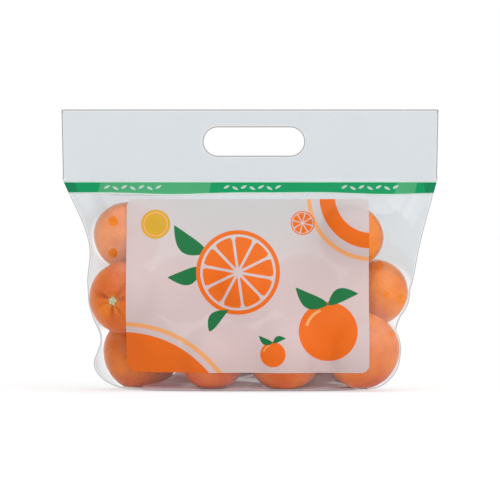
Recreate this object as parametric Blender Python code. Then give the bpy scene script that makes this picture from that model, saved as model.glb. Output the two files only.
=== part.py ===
"""A clear carry bag of mandarins, shut and full, standing on its gusset.

Metres, +Z up, front of the bag towards -Y, origin under the middle of the bag on the surface it stands on.
The bag is one solid: the body swells over the fruit inside, and the two films of its header lie flat above it.
"""

import bmesh
import bpy
import numpy as np

# Driving sizes of the bag
FILM_WIDTH = 0.3165
BAG_HEIGHT = 0.2352
CLOSING_SEAL_HEIGHT = 0.1770
SEAM_THICKNESS = 0.0012
BASE_FRONT_DEPTH = 0.040
BASE_BACK_DEPTH = 0.044
BASE_SQUARENESS = 2.6
FILM_CLEARANCE = 0.0012

# The flat header, which laps into the body and narrows a little towards it
HEADER_THICKNESS = 0.0014
HEADER_LAP = 0.006
HEADER_NECK_INSET = 0.0012
HEADER_FOOT_INSET = 0.0055

# The punched hand slot, a little right of the middle
SLOT_CENTRE = (0.0033, 0.2083)
SLOT_LENGTH = 0.0845
SLOT_HEIGHT = 0.0238
SLOT_END_SEGMENTS = 12

# The bag's two side edges seen from the front, as (height, half width) from the corner up
LEFT_EDGE = (
    (0.0000, 0.1316),
    (0.0235, 0.1312),
    (0.0416, 0.1256),
    (0.0643, 0.1336),
    (0.0895, 0.1367),
    (0.1172, 0.1348),
    (0.1770, 0.1575),
)
RIGHT_EDGE = (
    (0.0000, 0.1262),
    (0.0307, 0.1260),
    (0.0491, 0.1228),
    (0.0676, 0.1292),
    (0.0878, 0.1360),
    (0.1180, 0.1420),
    (0.1770, 0.1575),
)
LEFT_CORNER = (0.0345, 0.0240)
RIGHT_CORNER = (0.0270, 0.0300)

# Where each mandarin lies, as (across, back, up), and how wide it is. The first rows are the lowest.
FRUIT_SEATS = (
    ((-0.0910, 0.0126, 0.0325), 0.0660),
    ((-0.0295, -0.0264, 0.0275), 0.0550),
    ((0.0285, -0.0274, 0.0315), 0.0630),
    ((0.0925, -0.0284, 0.0330), 0.0630),
    ((-0.0150, 0.0306, 0.0290), 0.0570),
    ((0.0530, 0.0306, 0.0290), 0.0580),
    ((-0.1030, -0.0244, 0.0750), 0.0620),
    ((-0.0560, 0.0146, 0.0820), 0.0600),
    ((-0.0050, -0.0164, 0.0840), 0.0620),
    ((0.0450, 0.0156, 0.0840), 0.0600),
    ((0.1040, 0.0076, 0.0820), 0.0580),
    ((-0.1030, 0.0036, 0.1290), 0.0580),
    ((0.0835, -0.0154, 0.1285), 0.0545),
)
SETTLING_ROUNDS = 60

# How sharply the film is drawn in between the fruit, as the curvature of its hollows per metre. The printed front
# is tighter than the back.
FRONT_HOLLOWS = 12.0
BACK_HOLLOWS = 30.0

# How finely the body is meshed
COLUMNS = 42
ROWS = 31
ROW_CROWDING = 1.35
TAUTENING_ROUNDS = 1200
WELD_DISTANCE = 1e-6
SHARPEST_SMOOTH_FOLD = np.radians(40)

FILM_COLOUR = (0.72, 0.36, 0.17, 1.0)
FILM_ROUGHNESS = 0.3


def clear_scene():
    for obj in list(bpy.data.objects):
        bpy.data.objects.remove(obj)


def new_collection(name):
    collection = bpy.data.collections.new(name)
    bpy.context.scene.collection.children.link(collection)
    return collection


def film_material():
    material = bpy.data.materials.new("fruit_seen_through_film")
    material.use_nodes = True
    shader = material.node_tree.nodes["Principled BSDF"]
    shader.inputs["Base Color"].default_value = FILM_COLOUR
    shader.inputs["Roughness"].default_value = FILM_ROUGHNESS
    shader.inputs["Metallic"].default_value = 0.0
    return material


def settled_fruit():
    """The mandarins' centres and radii, pushed apart until none overlaps another or the floor."""
    centres = np.array([seat for seat, _ in FRUIT_SEATS])
    radii = np.array([width / 2 for _, width in FRUIT_SEATS])
    for _ in range(SETTLING_ROUNDS):
        for i in range(len(radii)):
            for j in range(i):
                apart = centres[i] - centres[j]
                distance = np.linalg.norm(apart)
                overlap = radii[i] + radii[j] - distance
                if overlap > 0:
                    centres[i] += apart / distance * overlap / 2
                    centres[j] -= apart / distance * overlap / 2
        centres[:, 2] = np.maximum(centres[:, 2], radii - FILM_CLEARANCE)
    return centres, radii


def smooth_through(points, heights):
    """A smooth curve through (height, value) points, read at the heights."""
    at, value = np.array(points).T
    slope = np.gradient(value, at)
    i = np.clip(np.searchsorted(at, heights) - 1, 0, len(at) - 2)
    step = at[i + 1] - at[i]
    t = (heights - at[i]) / step
    start = value[i] * (1 + 2 * t) + slope[i] * step * t
    end = value[i + 1] * (3 - 2 * t) + slope[i + 1] * step * (t - 1)
    return start * (1 - t) ** 2 + end * t**2


def side_edge(points, corner, heights, side, fruit):
    """How far the bag reaches on one side (-1 left, 1 right) at each height, rounded off at its lower corner."""
    reach = smooth_through(points, heights)
    for centre, radius in zip(*fruit):
        chord = np.sqrt(np.maximum(radius**2 - (heights - centre[2]) ** 2, 0))
        reach = np.where(chord > 0, np.maximum(reach, side * centre[0] + chord + FILM_CLEARANCE), reach)
    across, up = corner
    below = np.clip(1 - heights / up, 0, 1)
    return side * (reach - across * (1 - np.sqrt(1 - below**2)))


def fruit_depth(x, z, fruit, facing):
    """How far the fruit stands out towards one face of the bag (-1 front, 1 back) at each point of the film."""
    depth = np.zeros_like(x)
    for centre, radius in zip(*fruit):
        clear = radius + FILM_CLEARANCE
        inside = clear**2 - (x - centre[0]) ** 2 - (z - centre[2]) ** 2
        bulge = facing * centre[1] + np.sqrt(np.maximum(inside, 0))
        depth = np.where(inside > 0, np.maximum(depth, bulge), depth)
    return depth


def base_depth(x, half_length, depth):
    """The outline of the flat base, a squarish oval."""
    share = np.clip(np.abs(x) / half_length, 0, 1)
    return depth * (1 - share**BASE_SQUARENESS) ** (1 / BASE_SQUARENESS)


def draped_film(x, z, fruit, facing, base, hollows):
    """The film's distance from the bag's middle plane.

    It is a membrane held at its edges, lifted by the fruit and drawn in between. The two films never meet.
    """
    under = np.maximum(fruit_depth(x, z, fruit, facing), SEAM_THICKNESS / 2)
    depth = under.copy()
    depth[:, 0] = depth[:, -1] = 0
    depth[0] = base
    depth[-1, 1:-1] = SEAM_THICKNESS / 2
    across = 1 / np.gradient(x, axis=1)[1:-1, 1:-1] ** 2
    up = 1 / np.gradient(z, axis=0)[1:-1, 1:-1] ** 2
    for _ in range(TAUTENING_ROUNDS):
        beside = depth[1:-1, :-2] + depth[1:-1, 2:]
        above = depth[:-2, 1:-1] + depth[2:, 1:-1]
        level = (across * beside + up * above - hollows) / (2 * (across + up))
        depth[1:-1, 1:-1] = np.maximum(level, under[1:-1, 1:-1])
    return depth


def film_grid(fruit):
    """The (x, z) of the film's mesh points, close together near the seams and the floor."""
    heights = CLOSING_SEAL_HEIGHT * np.linspace(0, 1, ROWS + 1) ** ROW_CROWDING
    left = side_edge(LEFT_EDGE, LEFT_CORNER, heights, -1, fruit)
    right = side_edge(RIGHT_EDGE, RIGHT_CORNER, heights, 1, fruit)
    share = (1 - np.cos(np.pi * np.linspace(0, 1, COLUMNS + 1))) / 2
    x = left[:, None] + (right - left)[:, None] * share
    return x, np.repeat(heights[:, None], COLUMNS + 1, axis=1)


def bridge(mesh, first, second):
    """Faces between two runs of vertices, skipping a side that has shrunk to nothing."""
    for i in range(len(first) - 1):
        corners = []
        for vertex in (first[i], first[i + 1], second[i + 1], second[i]):
            if vertex not in corners:
                corners.append(vertex)
        if len(corners) > 2:
            mesh.faces.new(corners)


def bag_body(collection):
    """The swollen lower part: a front and a back film that share their side seams, on a flat base."""
    fruit = settled_fruit()
    x, z = film_grid(fruit)
    half_length = min(-x[0, 0], x[0, -1])
    front_base = base_depth(x[0], half_length, BASE_FRONT_DEPTH)
    back_base = base_depth(x[0], half_length, BASE_BACK_DEPTH)
    front = draped_film(x, z, fruit, -1, front_base, FRONT_HOLLOWS)
    back = draped_film(x, z, fruit, 1, back_base, BACK_HOLLOWS)
    mesh = bmesh.new()
    front_rows, back_rows = [], []
    for j in range(ROWS + 1):
        ahead = [mesh.verts.new((x[j, i], -front[j, i], z[j, i])) for i in range(COLUMNS + 1)]
        behind = [mesh.verts.new((x[j, i], back[j, i], z[j, i])) for i in range(1, COLUMNS)]
        front_rows.append(ahead)
        back_rows.append([ahead[0], *behind, ahead[-1]])
    for j in range(ROWS):
        bridge(mesh, front_rows[j], front_rows[j + 1])
        bridge(mesh, back_rows[j + 1], back_rows[j])
    bridge(mesh, back_rows[0], front_rows[0])
    bridge(mesh, front_rows[-1], back_rows[-1])
    bmesh.ops.recalc_face_normals(mesh, faces=mesh.faces)
    data = bpy.data.meshes.new("mandarin_bag")
    mesh.to_mesh(data)
    mesh.free()
    body = bpy.data.objects.new("mandarin_bag", data)
    collection.objects.link(body)
    return body


def add_outline(curve, points):
    spline = curve.splines.new("POLY")
    spline.points.add(len(points) - 1)
    for point, (x, z) in zip(spline.points, points):
        point.co = (x, z, 0, 1)
    spline.use_cyclic_u = True


def slot_outline():
    """A long hole with half-round ends."""
    x, z = SLOT_CENTRE
    radius = SLOT_HEIGHT / 2
    straight = SLOT_LENGTH / 2 - radius
    turns = np.linspace(-np.pi / 2, np.pi / 2, SLOT_END_SEGMENTS + 1)
    right = [(x + straight + radius * np.cos(t), z + radius * np.sin(t)) for t in turns]
    left = [(x - straight - radius * np.cos(t), z - radius * np.sin(t)) for t in turns]
    return right + left


def header_plate(collection):
    """The header: both films as one flat plate, with the hand slot through it, set a little way into the body."""
    half = FILM_WIDTH / 2
    foot = CLOSING_SEAL_HEIGHT - HEADER_LAP
    foot_half = half - HEADER_FOOT_INSET
    neck_half = half - HEADER_NECK_INSET
    corners = [
        (-foot_half, foot),
        (foot_half, foot),
        (neck_half, CLOSING_SEAL_HEIGHT),
        (half, BAG_HEIGHT),
        (-half, BAG_HEIGHT),
        (-neck_half, CLOSING_SEAL_HEIGHT),
    ]
    curve = bpy.data.curves.new("header_outline", "CURVE")
    curve.dimensions = "2D"
    curve.fill_mode = "BOTH"
    curve.extrude = HEADER_THICKNESS / 2
    add_outline(curve, corners)
    add_outline(curve, slot_outline())
    drawn = bpy.data.objects.new("header_outline", curve)
    collection.objects.link(drawn)
    drawn.rotation_euler = (np.pi / 2, 0, 0)
    bpy.context.view_layer.update()
    graph = bpy.context.evaluated_depsgraph_get()
    data = bpy.data.meshes.new_from_object(drawn.evaluated_get(graph))
    data.transform(drawn.matrix_world)
    bpy.data.objects.remove(drawn)
    mesh = bmesh.new()
    mesh.from_mesh(data)
    bmesh.ops.remove_doubles(mesh, verts=mesh.verts, dist=WELD_DISTANCE)
    bmesh.ops.recalc_face_normals(mesh, faces=mesh.faces)
    mesh.to_mesh(data)
    mesh.free()
    plate = bpy.data.objects.new("header_plate", data)
    collection.objects.link(plate)
    plate.hide_render = True
    plate.display_type = "WIRE"
    return plate


def main():
    clear_scene()
    bag_parts = new_collection("bag_of_mandarins")
    joined_in = new_collection("pieces_joined_in")
    body = bag_body(bag_parts)
    join = body.modifiers.new("header", "BOOLEAN")
    join.operation = "UNION"
    join.solver = "EXACT"
    join.object = header_plate(joined_in)
    body.data.materials.append(film_material())
    body.data.shade_smooth()
    body.data.set_sharp_from_angle(angle=SHARPEST_SMOOTH_FOLD)


main()
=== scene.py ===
"""Looks of a full carry bag of mandarins: clear film, its print and the fruit, in place of the plain solid.

Metres, +Z up, the printed front towards -Y and the origin under the middle of the bag, as in the pack.
"""

import logging
import math
from collections.abc import Sequence
from dataclasses import dataclass, field
from enum import Enum
from typing import Any

import bmesh
import bpy
import numpy as np
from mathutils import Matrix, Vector, noise
from mathutils.geometry import delaunay_2d_cdt


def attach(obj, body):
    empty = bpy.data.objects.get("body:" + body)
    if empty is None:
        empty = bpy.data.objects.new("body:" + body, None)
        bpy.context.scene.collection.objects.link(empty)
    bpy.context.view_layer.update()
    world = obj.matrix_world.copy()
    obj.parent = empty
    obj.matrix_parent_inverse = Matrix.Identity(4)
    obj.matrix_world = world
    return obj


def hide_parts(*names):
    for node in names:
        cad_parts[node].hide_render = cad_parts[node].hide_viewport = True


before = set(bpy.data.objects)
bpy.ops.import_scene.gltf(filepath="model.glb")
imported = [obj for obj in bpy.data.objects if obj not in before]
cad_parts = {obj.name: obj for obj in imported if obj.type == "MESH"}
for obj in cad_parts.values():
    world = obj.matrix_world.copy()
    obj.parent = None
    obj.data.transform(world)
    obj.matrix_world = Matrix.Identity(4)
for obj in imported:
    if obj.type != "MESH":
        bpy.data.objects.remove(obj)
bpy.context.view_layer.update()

Colour = tuple[float, float, float]
Point = tuple[float, float]
Place = tuple[float, float, float]
Spot = tuple[float, float, float, float]

BAG_NODE = "mandarin_bag"
BODY = "root"
FILM_READS = ("open", "haze", "crowd")
HALF = 0.5
TINY = 1e-12
STRIP_POINTS = 120
SLOT_END_POINTS = 24
SLOT_STEP = 0.0018
BOX_CORNER_POINTS = 8
BOX_STEP = 0.002
SEGMENT_STEP = 0.0010
REPORT = logging.getLogger("bag_of_mandarins")


class Facing(Enum):
    """Which face of the bag a film makes, as the sign of the way it looks along Y."""

    FRONT = -1
    BACK = 1


class Ink(Enum):
    """The inks on the film."""

    WHITE = "white_ink"
    ORANGE = "orange_ink"
    APRICOT = "apricot_ink"
    LEAF = "leaf_green_ink"
    BAND = "band_green_ink"
    PALE_BAND = "pale_band_green_ink"
    DEEP_BAND = "deep_band_green_ink"
    MINT = "mint_ink"
    GOLD = "gold_ink"


class FilmPart(Enum):
    """The parts of the film that look different."""

    CLEAR = "clear_film"
    SEAL = "sealed_film"
    EDGE = "cut_edge"
    GUSSET = "gusset_film"


class Wire:
    """One output socket of a node, whose operators add the Math nodes of an expression."""

    def __init__(self, tree: bpy.types.NodeTree, socket: bpy.types.NodeSocket) -> None:
        """Keeps the socket and the node tree that it is in."""
        self.tree = tree
        self.socket = socket

    def math(self, operation: str, first: "Wire | float", second: "Wire | float") -> "Wire":
        """Adds one Math node.

        Args:
            operation: the Math node's operation.
            first: what goes into its first socket.
            second: what goes into its second socket.

        Returns:
            The node's result.
        """
        node = self.tree.nodes.new("ShaderNodeMath")
        node.operation = operation
        for socket, value in zip(node.inputs, (first, second)):
            if isinstance(value, Wire):
                self.tree.links.new(value.socket, socket)
            else:
                socket.default_value = value
        return Wire(self.tree, node.outputs[0])

    def __add__(self, other: "Wire | float") -> "Wire":
        """Returns this value plus another."""
        return self.math("ADD", self, other)

    def __radd__(self, other: float) -> "Wire":
        """Returns a number plus this value."""
        return self.math("ADD", other, self)

    def __sub__(self, other: "Wire | float") -> "Wire":
        """Returns this value minus another."""
        return self.math("SUBTRACT", self, other)

    def __rsub__(self, other: float) -> "Wire":
        """Returns a number minus this value."""
        return self.math("SUBTRACT", other, self)

    def __mul__(self, other: "Wire | float") -> "Wire":
        """Returns this value times another."""
        return self.math("MULTIPLY", self, other)

    def __rmul__(self, other: float) -> "Wire":
        """Returns a number times this value."""
        return self.math("MULTIPLY", other, self)


class NodeSheet:
    """A node tree in the making."""

    def __init__(self, tree: bpy.types.NodeTree) -> None:
        """Keeps the tree."""
        self.tree = tree

    def node(
        self, kind: str, settings: dict[str, Any], inputs: dict[str | int, Any], output: str | int = 0
    ) -> Wire:
        """Adds a node of any type.

        Args:
            kind: the node's type.
            settings: its properties, set first.
            inputs: values or wires for its sockets, by name or number.
            output: the socket that is returned.

        Returns:
            The chosen output.
        """
        node = self.tree.nodes.new(kind)
        for name, value in settings.items():
            setattr(node, name, value)
        for name, value in inputs.items():
            self.feed(node.inputs[name], value)
        return Wire(self.tree, node.outputs[output])

    def feed(self, socket: bpy.types.NodeSocket, value: Any) -> None:
        """Links a wire to a socket, or sets the socket's own value.

        Args:
            socket: the input to fill.
            value: a wire, a number, a vector or a colour.
        """
        if isinstance(value, Wire):
            self.tree.links.new(value.socket, socket)
        elif socket.type == "RGBA":
            socket.default_value = (*value, 1.0)
        else:
            socket.default_value = value

    def blend(self, share: Wire | float, first: Wire | Colour, second: Wire | Colour) -> Wire:
        """Mixes two colours.

        Args:
            share: how much of the second colour, 0 to 1.
            first: the first colour.
            second: the second colour.

        Returns:
            The mixed colour.
        """
        settings = {"data_type": "RGBA", "clamp_factor": True}
        return self.node("ShaderNodeMix", settings, {0: share, 6: first, 7: second}, 2)

    def eased(self, value: Wire, low: float, high: float) -> Wire:
        """Eases a value from 0 at low to 1 at high.

        Args:
            value: what is eased.
            low: where the result leaves 0.
            high: where the result reaches 1.

        Returns:
            The eased value.
        """
        settings = {"interpolation_type": "SMOOTHSTEP"}
        return self.node("ShaderNodeMapRange", settings, {"Value": value, "From Min": low, "From Max": high})


class Dressing(NodeSheet):
    """A material in the making: its Principled shader and the nodes that feed it."""

    def __init__(self, name: str) -> None:
        """Makes the material with a Principled shader alone.

        Args:
            name: the material's name.
        """
        self.material = bpy.data.materials.new(name)
        self.material.use_nodes = True
        super().__init__(self.material.node_tree)
        self.shader = self.tree.nodes["Principled BSDF"]

    def set(self, **sockets: Any) -> None:
        """Fills the shader's sockets.

        Args:
            sockets: values or wires, by the socket's name with underscores for spaces.
        """
        for name, value in sockets.items():
            self.feed(self.shader.inputs[name.replace("_", " ")], value)

    def place(self) -> Wire:
        """Returns the position on the piece, in metres."""
        return self.node("ShaderNodeTexCoord", {}, {}, "Object")

    def stretched_place(self, stretch: Place) -> Wire:
        """Returns the position with each axis multiplied by a number."""
        return self.node("ShaderNodeVectorMath", {"operation": "MULTIPLY"}, {0: self.place(), 1: stretch})

    def mottle(self, size: float, detail: float = 2.0, place: Wire | None = None) -> Wire:
        """Adds soft blotches of noise.

        Args:
            size: how wide a blotch is, in metres.
            detail: how many finer layers it has.
            place: where the noise is read; the piece's own position if left out.

        Returns:
            A value about 0.5, mostly from 0.3 to 0.7.
        """
        inputs = {"Vector": place or self.place(), "Scale": 1 / size, "Detail": detail}
        return self.node("ShaderNodeTexNoise", {"noise_dimensions": "3D"}, inputs, 0)

    def kept(self, name: str) -> Wire:
        """Returns a number that the mesh keeps at each of its points."""
        return self.node("ShaderNodeAttribute", {"attribute_name": name}, {}, "Fac")

    def relief(self, height: Wire, depth: float) -> Wire:
        """Turns a height into a normal.

        Args:
            height: the relief, 0 to 1.
            depth: how far 1 stands out, in metres.

        Returns:
            The normal.
        """
        return self.node("ShaderNodeBump", {}, {"Height": height, "Distance": depth})


@dataclass(frozen=True)
class PeelFinish:
    """Waxy orange peel with fine pores."""

    deep: Colour = (0.53, 0.072, 0.003)
    bright: Colour = (0.84, 0.250, 0.011)
    # Painted shade for the pore pits
    pit: Colour = (0.44, 0.075, 0.003)
    near_stem: Colour = (0.60, 0.25, 0.025)
    # Painted shade for the furrows round the stem
    crease: Colour = (0.38, 0.055, 0.002)
    tone_share: float = 0.7
    patch_share: float = 0.3
    patch_size: float = 0.030
    patch_range: Point = (0.35, 0.65)
    near_stem_share: float = 0.6
    near_stem_from: float = 0.3
    furrow_shade_share: float = 0.85
    pore_spacing: float = 0.0014
    pore_depth: float = 0.00030
    pore_softness: float = 0.6
    pore_unevenness: float = 0.85
    pore_range: Point = (0.1, 0.5)
    pit_shade_share: float = 0.35
    roughness: float = 0.38
    roughness_play: float = 0.12
    roughness_patch: float = 0.006
    shine: float = 0.18
    wax: float = 0.10
    wax_roughness: float = 0.25

    def material(self) -> bpy.types.Material:
        """Returns the peel's material, which reads the mesh's tone (with painted shade near the floor),
        stem_near and furrow (painted darker).
        """
        dress = Dressing("peel")
        patches = dress.eased(dress.mottle(self.patch_size, 3.0), *self.patch_range)
        share = self.patch_share * patches + self.tone_share * dress.kept("tone")
        colour = dress.blend(share, self.deep, self.bright)
        share = self.near_stem_share * dress.eased(dress.kept("stem_near"), self.near_stem_from, 1.0)
        colour = dress.blend(share, colour, self.near_stem)
        # Painted shade: the furrows are coloured darker
        colour = dress.blend(self.furrow_shade_share * dress.kept("furrow"), colour, self.crease)
        inputs = {
            "Vector": dress.place(),
            "Scale": 1 / self.pore_spacing,
            "Smoothness": self.pore_softness,
            "Randomness": self.pore_unevenness,
        }
        cells = dress.node("ShaderNodeTexVoronoi", {"feature": "SMOOTH_F1"}, inputs, "Distance")
        wall = dress.eased(cells, *self.pore_range)
        # Painted shade: the pore pits are coloured darker
        colour = dress.blend(self.pit_shade_share * (1 - wall), colour, self.pit)
        roughness = self.roughness + self.roughness_play * (dress.mottle(self.roughness_patch) - HALF)
        dress.set(Base_Color=colour, Roughness=roughness, Normal=dress.relief(wall, self.pore_depth))
        dress.set(Specular_IOR_Level=self.shine, Coat_Weight=self.wax, Coat_Roughness=self.wax_roughness)
        return dress.material


@dataclass(frozen=True)
class StemFinish:
    """The dry, pale green button where the stalk broke off."""

    green: Colour = (0.27, 0.27, 0.13)
    straw: Colour = (0.60, 0.57, 0.40)
    fibre_size: float = 0.0012
    fibre_range: Point = (0.35, 0.62)
    fibre_depth: float = 0.0003
    roughness: float = 0.7
    roughness_play: float = 0.1

    def material(self) -> bpy.types.Material:
        """Returns the stem button's material."""
        dress = Dressing("stem")
        fibres = dress.mottle(self.fibre_size, 3.0)
        colour = dress.blend(dress.eased(fibres, *self.fibre_range), self.green, self.straw)
        roughness = self.roughness + self.roughness_play * (fibres - HALF)
        dress.set(Base_Color=colour, Roughness=roughness, Normal=dress.relief(fibres, self.fibre_depth))
        return dress.material


@dataclass(frozen=True)
class FilmFinish:
    """Thin glossy film: clear where it clings to fruit, hazy where loose, greyer with no fruit behind; its
    colour over fruit is painted light from the fruit.
    """

    part: FilmPart
    over_fruit_painted_light: Colour
    in_the_open: Colour
    clear_alpha: float
    hazy_alpha: float
    open_alpha: float
    alpha_play: float = 0.04
    cloud_size: float = 0.034
    cloud_stretch: Place = (1.0, 1.0, 0.6)
    cloud_share: float = 0.6
    haze_range: Point = (-0.1, 1.0)
    fine_size: float = 0.010
    fine_stretch: Place = (1.0, 1.0, 0.35)
    fine_depth: float = 0.0001
    roughness: float = 0.16
    roughness_play: float = 0.1
    shine: float = 0.6
    gloss: float = 1.0
    gloss_roughness: float = 0.08
    gloss_index: float = 1.8

    def material(self) -> bpy.types.Material:
        """Returns the film's material, which reads how open and how hazy the mesh's film is."""
        dress = Dressing(self.part.value)
        in_the_open = dress.eased(dress.kept("open"), 0.0, 1.0)
        cloud = dress.mottle(self.cloud_size, 3.0, dress.stretched_place(self.cloud_stretch))
        haze = dress.eased(dress.kept("haze") + self.cloud_share * (cloud - HALF), *self.haze_range)
        alpha = self.clear_alpha + (self.hazy_alpha - self.clear_alpha) * haze
        alpha = alpha + in_the_open * (self.open_alpha - alpha)
        # Painted light: over fruit the film takes a lighter, pinker colour, for the fruit's light in its haze
        colour = dress.blend(in_the_open, self.over_fruit_painted_light, self.in_the_open)
        dress.set(Base_Color=colour, Alpha=alpha + self.alpha_play * (cloud - HALF))
        fine = dress.mottle(self.fine_size, 2.0, dress.stretched_place(self.fine_stretch))
        dress.set(Roughness=self.roughness + self.roughness_play * (cloud - HALF))
        dress.set(Normal=dress.relief(fine, self.fine_depth), Specular_IOR_Level=self.shine)
        dress.set(Coat_Weight=self.gloss, Coat_Roughness=self.gloss_roughness, Coat_IOR=self.gloss_index)
        return dress.material


@dataclass(frozen=True)
class InkFinish:
    """Ink on the film, thin enough to let a little of the fruit behind show through, with the fruit's light
    also painted into its colour.
    """

    ink: Ink
    colour: Colour
    over_fruit_painted_light: Colour
    alpha: float
    alpha_play: float = 0.02
    shade: float = 0.95
    cloud_size: float = 0.050
    cloud_range: Point = (0.3, 0.7)
    fine_size: float = 0.012
    fine_stretch: Place = (1.0, 1.0, 0.4)
    fine_depth: float = 0.0002
    roughness: float = 0.42
    roughness_play: float = 0.06
    shine: float = 0.10
    gloss: float = 0.05
    gloss_roughness: float = 0.2

    def material(self) -> bpy.types.Material:
        """Returns the ink's material, which reads how much fruit is behind for its painted light."""
        dress = Dressing(self.ink.value)
        cloud = dress.mottle(self.cloud_size, 1.0)
        # Painted light: the ink's colour turns pinker where fruit lies behind
        colour = dress.blend(dress.kept("crowd"), self.colour, self.over_fruit_painted_light)
        darker = dress.node("ShaderNodeVectorMath", {"operation": "SCALE"}, {0: colour, "Scale": self.shade})
        fine = dress.mottle(self.fine_size, 1.0, dress.stretched_place(self.fine_stretch))
        dress.set(Base_Color=dress.blend(dress.eased(cloud, *self.cloud_range), darker, colour))
        dress.set(Normal=dress.relief(fine, self.fine_depth))
        dress.set(Roughness=self.roughness + self.roughness_play * (cloud - HALF))
        dress.set(Alpha=self.alpha + self.alpha_play * (cloud - HALF), Specular_IOR_Level=self.shine)
        dress.set(Coat_Weight=self.gloss, Coat_Roughness=self.gloss_roughness)
        return dress.material


FILM_FINISHES = (
    # The clear film's pink colour over fruit is a painted glow of the fruit in its haze
    FilmFinish(FilmPart.CLEAR, (0.78, 0.73, 0.75), (0.39, 0.45, 0.50), 0.012, 0.15, 0.36),
    FilmFinish(FilmPart.SEAL, (0.50, 0.54, 0.58), (0.50, 0.54, 0.58), 0.36, 0.36, 0.36),
    FilmFinish(FilmPart.EDGE, (0.055, 0.05, 0.05), (0.055, 0.05, 0.05), 0.52, 0.52, 0.52),
    # The gusset's mauve, nearly opaque colour is painted shade of the dim gaps between the lowest fruit
    FilmFinish(FilmPart.GUSSET, (0.56, 0.29, 0.31), (0.50, 0.27, 0.30), 0.84, 0.84, 0.88),
)

INK_FINISHES = (
    # Each ink's second colour, over fruit, is painted light from the fruit behind; the white ink turns pink
    InkFinish(Ink.WHITE, (0.485, 0.475, 0.475), (0.60, 0.445, 0.44), 0.90, 0.02, 0.985),
    InkFinish(Ink.ORANGE, (0.68, 0.130, 0.007), (0.68, 0.120, 0.007), 0.985),
    InkFinish(Ink.APRICOT, (0.74, 0.34, 0.13), (0.72, 0.31, 0.11), 0.96),
    InkFinish(Ink.LEAF, (0.004, 0.140, 0.040), (0.006, 0.130, 0.036), 0.985),
    InkFinish(Ink.BAND, (0.001, 0.255, 0.090), (0.001, 0.255, 0.090), 0.99, 0.01),
    InkFinish(Ink.PALE_BAND, (0.055, 0.32, 0.14), (0.055, 0.32, 0.14), 0.97),
    InkFinish(Ink.DEEP_BAND, (0.001, 0.19, 0.074), (0.001, 0.19, 0.074), 0.985),
    InkFinish(Ink.MINT, (0.60, 0.76, 0.68), (0.60, 0.76, 0.68), 0.60),
    InkFinish(Ink.GOLD, (0.54, 0.31, 0.02), (0.54, 0.31, 0.02), 0.96, 0.04, 0.85),
)


def number_of(kind: Ink | FilmPart) -> int:
    """Returns the material number of an ink or a part of the film."""
    return list(type(kind)).index(kind)


def smooth_share(values: np.ndarray) -> np.ndarray:
    """Returns the values cut to 0 to 1, with soft turns at both ends."""
    share = np.clip(values, 0, 1)
    return share**2 * (3 - 2 * share)


def new_piece(
    name: str, points: np.ndarray, faces: Sequence, materials: Sequence[bpy.types.Material]
) -> bpy.types.Object:
    """Makes a mesh object in the scene.

    Args:
        name: the piece's name.
        points: its vertices, in metres.
        faces: its faces, as rows of vertex numbers.
        materials: its material slots.

    Returns:
        The object.
    """
    data = bpy.data.meshes.new(name)
    data.from_pydata([tuple(p) for p in points], [], [tuple(int(i) for i in face) for face in faces])
    for material in materials:
        data.materials.append(material)
    data.shade_smooth()
    piece = bpy.data.objects.new(name, data)
    bpy.context.scene.collection.objects.link(piece)
    return piece


def keep_numbers(piece: bpy.types.Object, name: str, values: np.ndarray) -> None:
    """Stores a number at each point of a piece, for its material to read.

    Args:
        piece: the piece.
        name: the attribute's name.
        values: one number for each vertex.
    """
    attribute = piece.data.attributes.new(name, "FLOAT", "POINT")
    attribute.data.foreach_set("value", values.astype(np.float32))


def settle_on(piece: bpy.types.Object) -> None:
    """Makes a piece ride with the bag and stand for its plain solid.

    Args:
        piece: the piece.
    """
    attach(piece, BODY)
    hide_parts(BAG_NODE)
    REPORT.info("%s: %d points, %d faces", piece.name, len(piece.data.vertices), len(piece.data.polygons))


def turned_to(axis: Place, spin: float) -> np.ndarray:
    """Works out the rotation that takes +Z to an axis.

    Args:
        axis: where +Z goes.
        spin: how far the thing is first turned about +Z, in radians.

    Returns:
        The 3 by 3 rotation.
    """
    tilt = Vector((0, 0, 1)).rotation_difference(Vector(axis).normalized()).to_matrix()
    turn = np.array([[math.cos(spin), -math.sin(spin), 0], [math.sin(spin), math.cos(spin), 0], [0, 0, 1]])
    return np.array(tilt) @ turn


@dataclass(frozen=True)
class Mandarin:
    """One mandarin: where it lies, how wide it is, which way its stem looks, and its peel's tone, partly its
    own and partly painted light and shade.
    """

    seat: Place
    width: float
    stem: Place
    tone: float


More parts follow.
